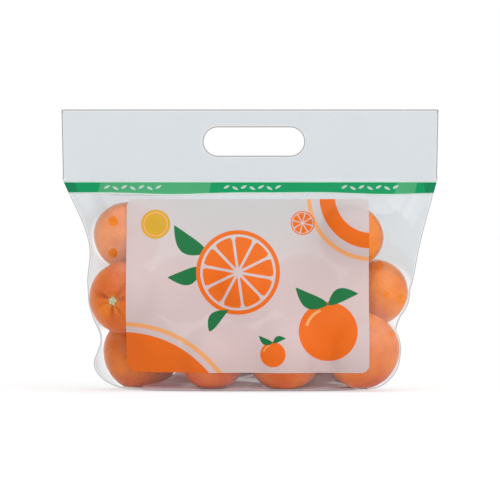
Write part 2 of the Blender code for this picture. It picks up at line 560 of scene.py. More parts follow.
@dataclass
class Peel:
    """The shape of a mandarin's skin about its stem, for a fruit of radius 1 with the stem at +Z."""

    flatness: float = 0.91
    shrink: float = 0.010
    stem_hollow: float = 0.070
    stem_hollow_width: float = 0.26
    foot_hollow: float = 0.030
    foot_hollow_width: float = 0.18
    collar_height: float = 0.022
    collar_middle: float = 0.46
    collar_width: float = 0.17
    furrow_counts: tuple[int, ...] = (3, 7, 10)
    furrow_depth: float = 0.095
    furrow_middle: float = 0.30
    furrow_reach: float = 0.26
    furrow_threshold: float = 0.05
    furrow_softness: float = 0.7
    lobe_heights: dict[int, float] = field(default_factory=lambda: {2: 0.007, 3: 0.005})
    lump_height: float = 0.016
    lump_size: float = 0.75
    dimple_height: float = 0.0040
    dimple_size: float = 0.10
    noise_reach: float = 50.0
    cuts: int = 34

    def directions(self) -> tuple[np.ndarray, list[tuple[int, ...]]]:
        """Spreads points evenly over a ball.

        Returns:
            The points, each at distance 1, and the faces between them.
        """
        mesh = bmesh.new()
        bmesh.ops.create_cube(mesh, size=2.0)
        bmesh.ops.subdivide_edges(mesh, edges=mesh.edges[:], cuts=self.cuts, use_grid_fill=True)
        mesh.verts.index_update()
        cube = np.array([v.co[:] for v in mesh.verts])
        faces = [tuple(v.index for v in face.verts) for face in mesh.faces]
        mesh.free()
        even = np.tan(cube * math.pi / 4)
        return even / np.linalg.norm(even, axis=1)[:, None], faces

    def skin(self, away: np.ndarray, seed: int) -> tuple[np.ndarray, np.ndarray, np.ndarray]:
        """Shapes the skin.

        Args:
            away: directions from the middle, as rows of length 1.
            seed: picks this fruit's own lumps and furrows.

        Returns:
            The skin's points for a radius of 1, how near each is to the stem, and how deep in a furrow it is,
            both from 0 to 1.
        """
        draw = np.random.default_rng(seed)
        turn = draw.uniform(0, 2 * math.pi, 5)
        around = np.arctan2(away[:, 1], away[:, 0])
        from_stem = np.arccos(np.clip(away[:, 2], -1, 1))
        near_stem = np.exp(-((from_stem / self.stem_hollow_width) ** 2))
        near_foot = np.exp(-(((math.pi - from_stem) / self.foot_hollow_width) ** 2))
        lobes = sum(h * np.cos(n * around + t) for (n, h), t in zip(self.lobe_heights.items(), turn))
        counts = self.furrow_counts
        folds = sum(np.cos(n * around + t) for n, t in zip(counts, turn[2:])) / len(counts)
        sharp = np.clip(-folds - self.furrow_threshold, 0, 1) ** self.furrow_softness
        reach = np.exp(-(((from_stem - self.furrow_middle) / self.furrow_reach) ** 2))
        furrow = sharp * reach
        collar = self.collar_height * np.exp(-(((from_stem - self.collar_middle) / self.collar_width) ** 2))
        shift = draw.uniform(-self.noise_reach, self.noise_reach, 3)
        bumps = np.array([
            self.lump_height * noise.fractal(Vector(d / self.lump_size + shift), 1.0, 2.0, 2)
            + self.dimple_height * noise.noise(Vector(d / self.dimple_size + shift))
            for d in away
        ])
        radius = 1 - self.shrink + bumps + lobes * np.sin(from_stem) ** 2 - self.furrow_depth * furrow
        radius += collar - self.stem_hollow * near_stem - self.foot_hollow * near_foot
        skin = away * radius[:, None]
        skin[:, 2] *= self.flatness
        return skin, near_stem, furrow


@dataclass
class StemButton:
    """The star-shaped calyx and the stub of the stalk, in metres, about the stem's axis."""

    radius: float = 0.0042
    points_of_star: int = 5
    star_depth: float = 0.34
    crown_height: float = 0.0012
    stub_radius: float = 0.0013
    stub_height: float = 0.0022
    thickness: float = 0.0012
    spokes: int = 40
    star_softness: float = 0.7
    turn_step: float = 0.9
    sharp_edge: float = 50.0

    def rings(self, turn: float) -> np.ndarray:
        """Works out the button's rings of points, from under its rim to the top of the stub.

        Args:
            turn: how far the star is turned, in radians.

        Returns:
            The points, as (ring, spoke, xyz).
        """
        around = np.linspace(0, 2 * math.pi, self.spokes, endpoint=False)
        notches = HALF + HALF * np.cos(self.points_of_star * around + turn)
        star = 1 - self.star_depth * notches**self.star_softness
        plain = np.ones_like(star)
        stub = self.stub_radius / self.radius
        # Each ring's share of the radius, its outline and its height
        profile = (
            (0.80, star, -self.thickness),
            (1.00, star, -self.thickness / 3),
            (0.94, star, self.thickness / 3),
            (0.62, star**0.5, self.crown_height * 0.72),
            (0.42, plain, self.crown_height),
            (stub, plain, self.crown_height * 1.15),
            (0.90 * stub, plain, self.stub_height),
            (0.45 * stub, plain, self.stub_height * 0.85),
        )
        rows = []
        for share, shape, height in profile:
            reach = self.radius * share * shape
            rows.append(np.column_stack([reach * np.cos(around), reach * np.sin(around), height * plain]))
        return np.array(rows)

    def faces(self, start: int, ring_count: int) -> list[tuple[int, ...]]:
        """Joins the rings, and closes the first and the last.

        Args:
            start: the first vertex's number.
            ring_count: how many rings there are.

        Returns:
            The faces.
        """
        count = self.spokes
        faces: list[tuple[int, ...]] = []
        for low in range(start, start + (ring_count - 1) * count, count):
            for i in range(count):
                after = (i + 1) % count
                faces.append((low + i, low + after, low + count + after, low + count + i))
        last = start + (ring_count - 1) * count
        faces.append(tuple(reversed(range(start, start + count))))
        faces.append(tuple(range(last, last + count)))
        return faces


@dataclass
class Heap:
    """The mandarins as they lie in the bag."""

    fruit: tuple[Mandarin, ...] = (
        # Each tone is partly the fruit's own and partly painted light and shade: most of the bottom row is
        # set darker, the top fruit lighter
        Mandarin((-0.0910, 0.0126, 0.0325), 0.0660, (0.25, 0.95, -0.15), 0.50),
        Mandarin((-0.0300, -0.0264, 0.0280), 0.0560, (-0.25, 0.95, 0.15), 0.10),
        Mandarin((0.0275, -0.0274, 0.0310), 0.0640, (0.45, 0.88, -0.12), 0.05),
        Mandarin((0.0938, -0.0284, 0.0335), 0.0640, (-0.50, 0.85, 0.15), 0.50),
        Mandarin((-0.0150, 0.0306, 0.0280), 0.0570, (0.30, 0.94, 0.12), 0.10),
        Mandarin((0.0530, 0.0306, 0.0285), 0.0580, (-0.85, 0.50, 0.10), 0.10),
        Mandarin((-0.1030, -0.0244, 0.0750), 0.0620, (-0.40, -0.91, -0.08), 0.26),
        Mandarin((-0.0560, 0.0146, 0.0820), 0.0600, (0.25, 0.76, 0.60), 0.60),
        Mandarin((-0.0050, -0.0164, 0.0840), 0.0620, (0.10, -0.35, 0.93), 0.50),
        Mandarin((0.0450, 0.0156, 0.0840), 0.0600, (-0.20, 0.93, -0.30), 0.40),
        Mandarin((0.1040, 0.0076, 0.0820), 0.0580, (0.25, 0.80, -0.55), 0.80),
        Mandarin((-0.1030, 0.0036, 0.1290), 0.0580, (0.45, 0.85, 0.30), 0.90),
        Mandarin((0.0845, -0.0154, 0.1285), 0.0555, (0.20, 0.72, 0.66), 0.80),
    )
    settling_rounds: int = 60
    floor_clearance: float = 0.0020
    pressed_flat_at: float = 0.0010
    press_softness: float = 0.0010
    crowd_share: float = 0.6
    crowd_reach: float = 1.25
    # Painted shade: the peel's tone is darkened close to the floor, for the shaded undersides
    painted_underside_shade: float = 1.0
    painted_underside_reach: float = 0.012
    spin_step: float = 1.7
    peel: Peel = field(default_factory=Peel)
    button: StemButton = field(default_factory=StemButton)
    centres: np.ndarray = field(init=False)
    radii: np.ndarray = field(init=False)
    turns: list[np.ndarray] = field(init=False)

    def __post_init__(self) -> None:
        """Pushes the fruit apart until none overlaps another or the floor."""
        centres = np.array([one.seat for one in self.fruit])
        radii = np.array([one.width / 2 for one in self.fruit])
        for _ in range(self.settling_rounds):
            for i in range(len(radii)):
                for j in range(i):
                    apart = centres[i] - centres[j]
                    distance = np.linalg.norm(apart)
                    overlap = radii[i] + radii[j] - distance
                    if overlap > 0:
                        centres[i] += apart / distance * overlap / 2
                        centres[j] -= apart / distance * overlap / 2
            centres[:, 2] = np.maximum(centres[:, 2], radii - self.floor_clearance)
        self.centres = centres
        self.radii = radii
        self.turns = [turned_to(one.stem, self.spin_step * i) for i, one in enumerate(self.fruit)]

    def distance(self, points: np.ndarray) -> np.ndarray:
        """Returns roughly how far each point is outside the nearest fruit, negative inside it."""
        nearest = np.full(points.shape[:-1], np.inf)
        for centre, radius, turn in zip(self.centres, self.radii, self.turns):
            seen = (points - centre) @ turn / (1, 1, self.peel.flatness)
            nearest = np.minimum(nearest, np.linalg.norm(seen, axis=-1) - radius)
        return nearest

    def miss(self, points: np.ndarray) -> np.ndarray:
        """Returns how far a line from front to back through each point misses the nearest fruit."""
        nearest = np.full(points.shape[:-1], np.inf)
        for centre, radius, turn in zip(self.centres, self.radii, self.turns):
            start = (points - centre) @ turn / (1, 1, self.peel.flatness)
            way = turn[1] / (1, 1, self.peel.flatness)
            along = (start * way).sum(axis=-1) / (way**2).sum()
            nearest = np.minimum(nearest, np.linalg.norm(start - along[..., None] * way, axis=-1) - radius)
        return nearest

    def crowd(self, points: np.ndarray) -> np.ndarray:
        """Returns how much fruit is behind each point and round it, as seen from the front, from 0 to 1."""
        bare = np.ones(points.shape[:-1])
        for centre, radius in zip(self.centres, self.radii):
            aside = np.hypot(points[..., 0] - centre[0], points[..., 2] - centre[2])
            bare *= 1 - self.crowd_share * np.exp(-((aside / (self.crowd_reach * radius)) ** 2))
        return 1 - bare

    def pressed(self, points: np.ndarray) -> np.ndarray:
        """Flattens what is close to the floor, as the weight of the fruit does."""
        lifted = np.logaddexp(0, (points[:, 2] - self.pressed_flat_at) / self.press_softness)
        return np.column_stack([points[:, :2], self.pressed_flat_at + self.press_softness * lifted])

    def build_fruit(self) -> None:
        """Builds every mandarin's skin as one piece."""
        away, ball_faces = self.peel.directions()
        points, faces, tones_with_painted_shade, stems, furrows = [], [], [], [], []
        for number, (one, centre, radius) in enumerate(zip(self.fruit, self.centres, self.radii)):
            skin, near, furrow = self.peel.skin(away, number)
            faces.extend(tuple(i + number * len(away) for i in face) for face in ball_faces)
            placed = self.pressed(skin * radius @ self.turns[number].T + centre)
            points.append(placed)
            # Painted shade: the lower parts of the fruit near the floor are coloured darker
            painted_shade = self.painted_underside_shade * np.exp(-((placed[:, 2] / self.painted_underside_reach) ** 2))
            tones_with_painted_shade.append(np.clip(one.tone - painted_shade, 0, 1))
            stems.append(near)
            furrows.append(furrow)
        piece = new_piece("mandarins", np.concatenate(points), faces, [PeelFinish().material()])
        keep_numbers(piece, "tone", np.concatenate(tones_with_painted_shade))
        keep_numbers(piece, "stem_near", np.concatenate(stems))
        keep_numbers(piece, "furrow", np.concatenate(furrows))
        settle_on(piece)

    def build_buttons(self) -> None:
        """Builds the stem button of every mandarin as one piece."""
        points, faces = [], []
        pole = self.peel.flatness * (1 - self.peel.stem_hollow - self.peel.shrink)
        for number, (centre, radius) in enumerate(zip(self.centres, self.radii)):
            rings = self.button.rings(self.button.turn_step * number)
            count = rings.shape[0] * rings.shape[1]
            faces.extend(self.button.faces(number * count, rings.shape[0]))
            raised = rings.reshape(-1, 3) + (0, 0, pole * radius + self.button.thickness / 3)
            points.append(raised @ self.turns[number].T + centre)
        piece = new_piece("stem_buttons", np.concatenate(points), faces, [StemFinish().material()])
        piece.data.set_sharp_from_angle(angle=math.radians(self.button.sharp_edge))
        settle_on(piece)


def smooth_through(points: Sequence[Point], heights: np.ndarray) -> np.ndarray:
    """Reads a smooth curve.

    Args:
        points: the (height, value) points that it passes.
        heights: where it is read.

    Returns:
        The values at those heights.
    """
    at, value = np.array(points).T
    slope = np.gradient(value, at)
    i = np.clip(np.searchsorted(at, heights) - 1, 0, len(at) - 2)
    step = at[i + 1] - at[i]
    t = (heights - at[i]) / step
    start = value[i] * (1 + 2 * t) + slope[i] * step * t
    end = value[i + 1] * (3 - 2 * t) + slope[i + 1] * step * (t - 1)
    return start * (1 - t) ** 2 + end * t**2


@dataclass
class FilmFace:
    """One face of the bag as a net of points: rows from the base up, columns from left to right."""

    facing: Facing
    points: np.ndarray
    reads: np.ndarray

    def normals(self) -> np.ndarray:
        """Returns the outward normal at each point of the net."""
        across = np.gradient(self.points, axis=1)
        up = np.gradient(self.points, axis=0)
        outward = np.cross(across, up) * -self.facing.value
        return outward / np.maximum(np.linalg.norm(outward, axis=2, keepdims=True), TINY)

    def net_place(self, outline: np.ndarray) -> np.ndarray:
        """Finds where points seen from the front lie on the net.

        Args:
            outline: (x, z) points, in metres.

        Returns:
            Their (column, row) places, as numbers with fractions.
        """
        heights = self.points[:, 0, 2]
        rows = np.interp(outline[:, 1], heights, np.arange(len(heights)))
        columns = np.arange(self.points.shape[1])
        found = []
        for x, row in zip(outline[:, 0], rows):
            low = min(int(row), len(heights) - 2)
            share = row - low
            line = (1 - share) * self.points[low, :, 0] + share * self.points[low + 1, :, 0]
            found.append(np.interp(x, np.maximum.accumulate(line), columns))
        return np.column_stack([found, rows])

    def read(self, values: np.ndarray, places: np.ndarray) -> np.ndarray:
        """Reads values of the net between its points.

        Args:
            values: a row of values for each point of the net.
            places: (column, row) places.

        Returns:
            The values there.
        """
        rows, columns = values.shape[:2]
        column = np.clip(places[:, 0].astype(int), 0, columns - 2)
        row = np.clip(places[:, 1].astype(int), 0, rows - 2)
        across = (places[:, 0] - column)[:, None]
        up = (places[:, 1] - row)[:, None]
        low = values[row, column] * (1 - across) + values[row, column + 1] * across
        high = values[row + 1, column] * (1 - across) + values[row + 1, column + 1] * across
        return low * (1 - up) + high * up


@dataclass(frozen=True)
class Crease:
    """A soft ridge in the film, from one point to another as seen from the front."""

    start: Point
    end: Point
    height: float
    width: float
    bow: float = 0.10
    wiggle: float = 0.0006
    wiggle_turns: float = 9.0
    taper_range: Point = (0.03, 0.97)
    taper_softness: float = 0.8

    def rise(self, x: np.ndarray, z: np.ndarray, seed: float) -> np.ndarray:
        """Works out how far the ridge lifts the film.

        Args:
            x: where, across.
            z: where, up.
            seed: picks how the ridge wanders.

        Returns:
            The lift, in metres.
        """
        start, along = np.array(self.start), np.array(self.end) - self.start
        length = np.linalg.norm(along)
        along = along / length
        ahead = (x - start[0]) * along[0] + (z - start[1]) * along[1]
        aside = (x - start[0]) * along[1] - (z - start[1]) * along[0]
        share = np.clip(ahead / length, 0, 1)
        wander = self.bow * length * np.sin(math.pi * share) * math.sin(seed)
        wander += self.wiggle * np.sin(share * self.wiggle_turns + seed)
        over = np.maximum(np.maximum(-ahead, ahead - length), 0)
        low, high = self.taper_range
        taper = np.sin(math.pi * (low + (high - low) * share)) ** self.taper_softness
        off_ridge = ((aside - wander) / self.width) ** 2 + (over / self.width) ** 2
        return self.height * taper * np.exp(-off_ridge)


@dataclass
class Pouch:
    """The film bag's own shape, shrunk onto the fruit between its side seams, its base and its seal."""

    heap: Heap
    width: float = 0.3165
    height: float = 0.2352
    seal_height: float = 0.1770
    base_front_depth: float = 0.040
    base_back_depth: float = 0.044
    base_squareness: float = 2.6
    clearance: float = 0.0012
    film_clearance: float = 0.0007
    off_middle: float = 0.0001
    neck_inset: float = 0.0012
    fin: float = 0.0016
    widest_fin: float = 0.0050
    fin_columns: int = 2
    left_edge: tuple[Point, ...] = (
        (0.0000, 0.1316),
        (0.0235, 0.1312),
        (0.0416, 0.1256),
        (0.0643, 0.1336),
        (0.0895, 0.1367),
        (0.1172, 0.1348),
        (0.1770, 0.1575),
    )
    right_edge: tuple[Point, ...] = (
        (0.0000, 0.1262),
        (0.0307, 0.1260),
        (0.0491, 0.1228),
        (0.0676, 0.1292),
        (0.0878, 0.1360),
        (0.1180, 0.1420),
        (0.1770, 0.1575),
    )
    left_corner: Point = (0.0345, 0.0240)
    right_corner: Point = (0.0270, 0.0300)
    front_hollows: float = 6.0
    back_hollows: float = 30.0
    usual_haze: float = 0.30
    haze_spots: tuple[Spot, ...] = (
        (-0.1120, 0.1290, 0.0280, 0.75),
        (-0.1150, 0.1020, 0.0140, -0.25),
        (-0.1090, 0.0650, 0.0170, -0.35),
        (-0.1290, 0.0750, 0.0140, -0.30),
        (-0.1120, 0.0300, 0.0220, -0.30),
        (0.1134, 0.0990, 0.0140, 0.15),
        (0.1134, 0.0626, 0.0140, 0.35),
        (0.1126, 0.0400, 0.0180, 0.20),
        (0.1040, 0.1155, 0.0120, -0.45),
        (0.0280, 0.0100, 0.0200, -0.20),
        (0.0860, 0.0080, 0.0140, -0.25),
        (-0.0067, 0.0040, 0.0110, 0.90),
        (0.0622, 0.0040, 0.0120, 0.70),
    )
    columns: int = 26
    rows: int = 15
    row_crowding: float = 1.12
    header_rows: int = 34
    rounds: tuple[int, ...] = (500, 300, 200, 120)
    slack_depth: float = 0.085
    header_gap: float = 0.0004
    header_billow: float = 0.0007
    billow_flatness: int = 8
    billow_softness: float = 1.2
    billow_play: float = 1.2
    billow_spread: Place = (22.0, 3.0, 9.0)
    open_width: float = 0.0016
    open_margin: float = 0.0006
    open_turn: float = 0.65
    open_turn_fade: float = 0.40
    gusset_top: float = 0.0110
    gusset_half: float = 0.1080
    gusset_fade: float = 0.0060
    crease_reach: float = 1.32
    crease_height: float = 0.0006
    crease_height_range: Point = (0.35, 1.0)
    crease_width: float = 0.0030
    crease_width_range: Point = (0.7, 1.6)
    crease_start: Point = (0.05, 0.3)
    crease_end: Point = (0.7, 1.0)
    crease_drift: float = 0.008
    crease_drift_range: Point = (0.3, 1.4)
    crease_seed_step: float = 2.4
    front_seed: int = 11
    back_seed: int = 12
    top_fruit_from: float = 0.10
    top_crease_lean: Point = (0.014, 0.040)
    top_crease_end: float = 0.161
    side_fruit_from: float = 0.07
    side_crease_lift: Point = (-0.018, 0.022)
    side_crease_heights: Point = (0.012, 0.167)
    side_crease_gap: float = 0.002
    crumple_height: float = 0.00002
    crumple_spread: Place = (90.0, 60.0, 45.0)
    free_from: float = 0.003
    header_hold: Point = (0.001, 0.006)
    base_hold: float = 0.004
    sink_share: float = 0.8
    calm_middle: Point = (-0.002, 0.087)
    calm_half: Point = (0.106, 0.078)
    calm_fade: float = 0.006
    calm_share: float = 0.15

    def heights(self, rows: int) -> np.ndarray:
        """Returns the heights of a body's rows, closer together near the floor."""
        return self.seal_height * np.linspace(0, 1, rows + 1) ** self.row_crowding

    def side_edge(self, heights: np.ndarray, side: int) -> np.ndarray:
        """Works out where the bag ends on one side.

        Args:
            heights: the heights, in metres.
            side: -1 for the left, 1 for the right.

        Returns:
            The edge's x at those heights.
        """
        points = self.left_edge if side < 0 else self.right_edge
        across, up = self.left_corner if side < 0 else self.right_corner
        reach = smooth_through(points, heights)
        for centre, radius in zip(self.heap.centres, self.heap.radii):
            chord = np.sqrt(np.maximum(radius**2 - (heights - centre[2]) ** 2, 0))
            touching = side * centre[0] + chord + self.clearance
            reach = np.where(chord > 0, np.maximum(reach, touching), reach)
        below = np.clip(1 - heights / up, 0, 1)
        return side * (reach - across * (1 - np.sqrt(1 - below**2)))

    def fin_width(self, heights: np.ndarray, side: int) -> np.ndarray:
        """Returns the side seam's width along X at each height, for an even width across the seam."""
        slope = np.gradient(self.side_edge(heights, side), heights)
        return np.minimum(self.fin * np.sqrt(1 + slope**2), self.widest_fin)

    def base_depth(self, x: np.ndarray, half_length: float, depth: float) -> np.ndarray:
        """Returns how far the flat base's squarish outline lies from the middle plane at each x."""
        share = np.clip(np.abs(x) / half_length, 0, 1)
        return depth * (1 - share**self.base_squareness) ** (1 / self.base_squareness)

    def hold(self, film: np.ndarray, heights: np.ndarray, facing: Facing) -> None:
        """Puts the film's four edges where they are held: side seams, base and closing seal.

        Args:
            film: the film's (row, column, xy) points, changed in place.
            heights: the heights of its rows.
            facing: which face it is.
        """
        left = self.side_edge(heights, -1) + self.fin_width(heights, -1)
        right = self.side_edge(heights, 1) - self.fin_width(heights, 1)
        film[:, 0, 0], film[:, -1, 0] = left, right
        film[:, 0, 1] = film[:, -1, 1] = 0
        depth = self.base_front_depth if facing is Facing.FRONT else self.base_back_depth
        share = np.linspace(0, 1, film.shape[1])
        share = (1 - np.cos(math.pi * share)) / 4 + share / 2
        film[0, :, 0] = left[0] + (right[0] - left[0]) * share
        film[0, :, 1] = facing.value * self.base_depth(film[0, :, 0], min(-left[0], right[0]), depth)
        film[-1, :, 0] = np.linspace(left[-1], right[-1], film.shape[1])
        film[-1, 1:-1, 1] = facing.value * self.header_gap

    def slack_film(self, facing: Facing) -> np.ndarray:
        """Returns a coarse film that stands clear of all the fruit."""
        heights = self.heights(self.rows)
        turn = np.linspace(0, math.pi, self.columns + 1)
        left, right = self.side_edge(heights, -1), self.side_edge(heights, 1)
        film = np.zeros((self.rows + 1, self.columns + 1, 2))
        film[:, :, 0] = (left + right)[:, None] / 2 - (right - left)[:, None] / 2 * np.cos(turn)
        film[:, :, 1] = facing.value * self.slack_depth * np.sin(turn) ** 0.5
        self.hold(film, heights, facing)
        return film

    def doubled(self, film: np.ndarray, facing: Facing) -> np.ndarray:
        """Halves the net's spacing both ways.

        Args:
            film: the film's (row, column, xy) points.
            facing: which face it is.

        Returns:
            The finer film.
        """
        rows, columns = 2 * (film.shape[0] - 1), 2 * (film.shape[1] - 1)
        coarse, fine = self.heights(rows // 2), self.heights(rows)
        taller = np.empty((rows + 1, film.shape[1], 2))
        for axis in range(2):
            for column in range(film.shape[1]):
                taller[:, column, axis] = np.interp(fine, coarse, film[:, column, axis])
        wider = np.empty((rows + 1, columns + 1, 2))
        wider[:, ::2] = taller
        wider[:, 1::2] = (taller[:, 1:] + taller[:, :-1]) / 2
        self.hold(wider, fine, facing)
        return wider

    def keep_off_fruit(self, film: np.ndarray, heights: np.ndarray, facing: Facing) -> None:
        """Pushes each level row of the film out of the slices of fruit at its height.

        Args:
            film: the film's (row, column, xy) points, changed in place.
            heights: the heights of its rows.
            facing: which face it is.
        """
        flat = self.heap.peel.flatness
        for centre, radius, turn in zip(self.heap.centres, self.heap.radii, self.heap.turns):
            clear = radius + self.film_clearance
            rows = np.flatnonzero(np.abs(heights - centre[2]) < clear)
            rows = rows[(rows > 0) & (rows < len(heights) - 1)]
            part = film[rows, 1:-1]
            away = part - centre[:2]
            away[..., 1] = facing.value * np.maximum(facing.value * away[..., 1], self.off_middle)
            level = np.concatenate([away, np.zeros((*away.shape[:2], 1))], axis=2) @ turn / (1, 1, flat)
            above = (heights[rows] - centre[2])[:, None] * (turn[2] / (1, 1, flat))
            a = (level**2).sum(axis=2)
            b = 2 * (level * above[:, None]).sum(axis=2)
            c = (above**2).sum(axis=1)[:, None] - clear**2
            room = np.maximum(b**2 - 4 * a * c, 0)
            scale = (-b + np.sqrt(room)) / (2 * a)
            caught = (a + b + c < 0) & (scale > 1)
            film[rows, 1:-1] = np.where(caught[..., None], centre[:2] + away * scale[..., None], part)

    def draped(self, film: np.ndarray, facing: Facing, rounds: int) -> np.ndarray:
        """Draws the film tight over the fruit and a little way in between.

        Args:
            film: the film's (row, column, xy) points.
            facing: which face it is.
            rounds: how often each point is moved to the middle of its neighbours.

        Returns:
            The tighter film.
        """
        heights = self.heights(film.shape[0] - 1)
        hollows = self.front_hollows if facing is Facing.FRONT else self.back_hollows
        below, above = np.diff(heights)[:-1, None, None], np.diff(heights)[1:, None, None]
        from_below = 2 / (below * (below + above))
        from_above = 2 / (above * (below + above))
        beside = ((film.shape[1] - 1) / self.width) ** 2
        total = from_below + from_above + 2 * beside
        for _ in range(rounds):
            run = film[1:-1, 2:] - film[1:-1, :-2]
            run /= np.maximum(np.linalg.norm(run, axis=2, keepdims=True), TINY)
            inward = np.stack([run[..., 1], -run[..., 0]], axis=2) * facing.value
            pull = beside * (film[1:-1, :-2] + film[1:-1, 2:]) + hollows * inward
            pull += from_below * film[:-2, 1:-1] + from_above * film[2:, 1:-1]
            film[1:-1, 1:-1] = pull / total
            self.keep_off_fruit(film, heights, facing)
            depth = np.maximum(facing.value * film[1:-1, 1:-1, 1], self.header_gap)
            film[1:-1, 1:-1, 1] = facing.value * depth
        return film

    def body_net(self, facing: Facing) -> np.ndarray:
        """Shrinks one face of the body onto the fruit.

        Args:
            facing: which face it is.

        Returns:
            The net's (row, column, xyz) points, without the seams' fins.
        """
        film = self.draped(self.slack_film(facing), facing, self.rounds[0])
        for rounds in self.rounds[1:]:
            film = self.draped(self.doubled(film, facing), facing, rounds)
        heights = self.heights(film.shape[0] - 1)
        level = np.broadcast_to(heights[:, None, None], (*film.shape[:2], 1))
        return np.concatenate([film, level], axis=2)

    def header_net(self, facing: Facing, columns: int) -> np.ndarray:
        """Lays one film of the header flat, with a little billow between its sealed edges.

        Args:
            facing: which face it is.
            columns: how many columns the body's net has.

        Returns:
            The net's (row, column, xyz) points, without the seams' fins.
        """
        up = np.linspace(0, 1, self.header_rows + 1)[1:]
        heights = self.seal_height + (self.height - self.seal_height) * up
        half = self.width / 2 - self.neck_inset * (1 - up) - self.fin
        share = np.linspace(-1, 1, columns + 1)
        net = np.empty((self.header_rows, columns + 1, 3))
        net[:, :, 0] = half[:, None] * share
        net[:, :, 2] = heights[:, None]
        net[:, :, 1] = facing.value
        billow = (1 - share**self.billow_flatness) * np.sin(math.pi * up)[:, None] ** self.billow_softness
        billow = billow * (1.0 + self.billow_play * self.waves(net, self.billow_spread))
        net[:, :, 1] = facing.value * (self.header_gap + self.header_billow * billow)
        return net

    def waves(self, net: np.ndarray, spread: Place) -> np.ndarray:
        """Reads noise at each point of a net, after its coordinates are multiplied by a number each."""
        return np.array([[noise.noise(Vector(p * spread)) for p in row] for row in net])

    def with_fins(self, net: np.ndarray) -> np.ndarray:
        """Adds the flat fins of the side seams outside both ends of a net.

        Args:
            net: the (row, column, xyz) points.

        Returns:
            The wider net.
        """
        body = net[: -self.header_rows, 0, 2]
        rest = np.full(self.header_rows, self.fin)
        steps = np.linspace(1, 0, self.fin_columns, endpoint=False)
        left = np.repeat(net[:, :1], self.fin_columns, axis=1)
        right = np.repeat(net[:, -1:], self.fin_columns, axis=1)
        left[:, :, 0] -= np.concatenate([self.fin_width(body, -1), rest])[:, None] * steps
        right[:, :, 0] += np.concatenate([self.fin_width(body, 1), rest])[:, None] * steps[::-1]
        return np.concatenate([left, net, right], axis=1)

    def creases(self, facing: Facing) -> list[Crease]:
        """Lays creases between neighbouring fruit, and from the outer fruit to the seal and the seams.

        Args:
            facing: which face it is.

        Returns:
            The creases.
        """
        draw = np.random.default_rng(self.front_seed if facing is Facing.FRONT else self.back_seed)
        centres, radii = self.heap.centres, self.heap.radii
        runs = []
        for i in range(len(radii)):
            for j in range(i):
                near = np.linalg.norm(centres[i] - centres[j]) < self.crease_reach * (radii[i] + radii[j])
                if near and facing is Facing.BACK:
                    runs.append((centres[i][[0, 2]], centres[j][[0, 2]]))
            middle = centres[i][[0, 2]]
            if middle[1] > self.top_fruit_from:
                for lean in draw.uniform(*self.top_crease_lean, 2) * np.sign(middle[0]):
                    runs.append((middle, np.array([middle[0] + lean, self.top_crease_end])))
            if abs(middle[0]) > self.side_fruit_from:
                side = 1 if middle[0] > 0 else -1
                for lift in draw.uniform(*self.side_crease_lift, 2):
                    z = np.clip(middle[1] + lift, *self.side_crease_heights)
                    x = self.side_edge(np.array([z]), side)[0] - side * self.side_crease_gap
                    runs.append((middle, np.array([x, z])))
        found = []
        for start, end in runs:
            along = end - start
            aside = np.array([-along[1], along[0]]) / np.linalg.norm(along)
            shift = draw.normal(0, self.crease_drift)
            first = start + along * draw.uniform(*self.crease_start) + aside * shift
            last = start + along * draw.uniform(*self.crease_end)
            last += aside * shift * draw.uniform(*self.crease_drift_range)
            height = self.crease_height * draw.uniform(*self.crease_height_range)
            width = self.crease_width * draw.uniform(*self.crease_width_range)
            found.append(Crease(tuple(first), tuple(last), height, width))
        return found

    def creased(self, face: FilmFace, clear: np.ndarray) -> None:
        """Raises the creases and small crumples of a face wherever it stands clear of the fruit.

        Args:
            face: the face, changed in place.
            clear: how far each point stands off the fruit, in metres.
        """
        x, z = face.points[..., 0], face.points[..., 2]
        rise = np.zeros(x.shape)
        for number, crease in enumerate(self.creases(face.facing)):
            rise += crease.rise(x, z, number * self.crease_seed_step)
        rise += self.crumple_height * self.waves(face.points, self.crumple_spread)
        margin, fade = self.header_hold
        below_header = np.clip((self.seal_height - margin - z) / fade, 0, 1)
        above_base = np.clip(z / self.base_hold, 0, 1)
        inside_seams = np.ones(x.shape)
        inside_seams[:, : self.fin_columns + 1] = 0
        inside_seams[:, -self.fin_columns - 1 :] = 0
        free = smooth_share(clear / self.free_from) * below_header * above_base * inside_seams
        if face.facing is Facing.FRONT:
            outside_x = (np.abs(x - self.calm_middle[0]) - self.calm_half[0]) / self.calm_fade
            outside_z = (np.abs(z - self.calm_middle[1]) - self.calm_half[1]) / self.calm_fade
            lively = np.clip(np.maximum(outside_x, outside_z), 0, 1)
            free *= self.calm_share + (1 - self.calm_share) * lively
        depth = face.facing.value * face.points[..., 1] - self.header_gap
        room = np.minimum(np.maximum(clear, 0), np.maximum(depth, 0))
        rise = np.maximum(rise * free, -room * self.sink_share)
        face.points += face.normals() * rise[..., None]

    def face(self, facing: Facing) -> FilmFace:
        """Makes one face of the bag, from its base to the top of its header.

        Args:
            facing: which face it is.

        Returns:
            The face.
        """
        body = self.body_net(facing)
        header = self.header_net(facing, body.shape[1] - 1)
        net = self.with_fins(np.concatenate([body, header]))
        face = FilmFace(facing, net, np.zeros(net.shape))
        face.reads = self.reads(face)
        self.creased(face, self.heap.distance(net) - self.film_clearance)
        return face

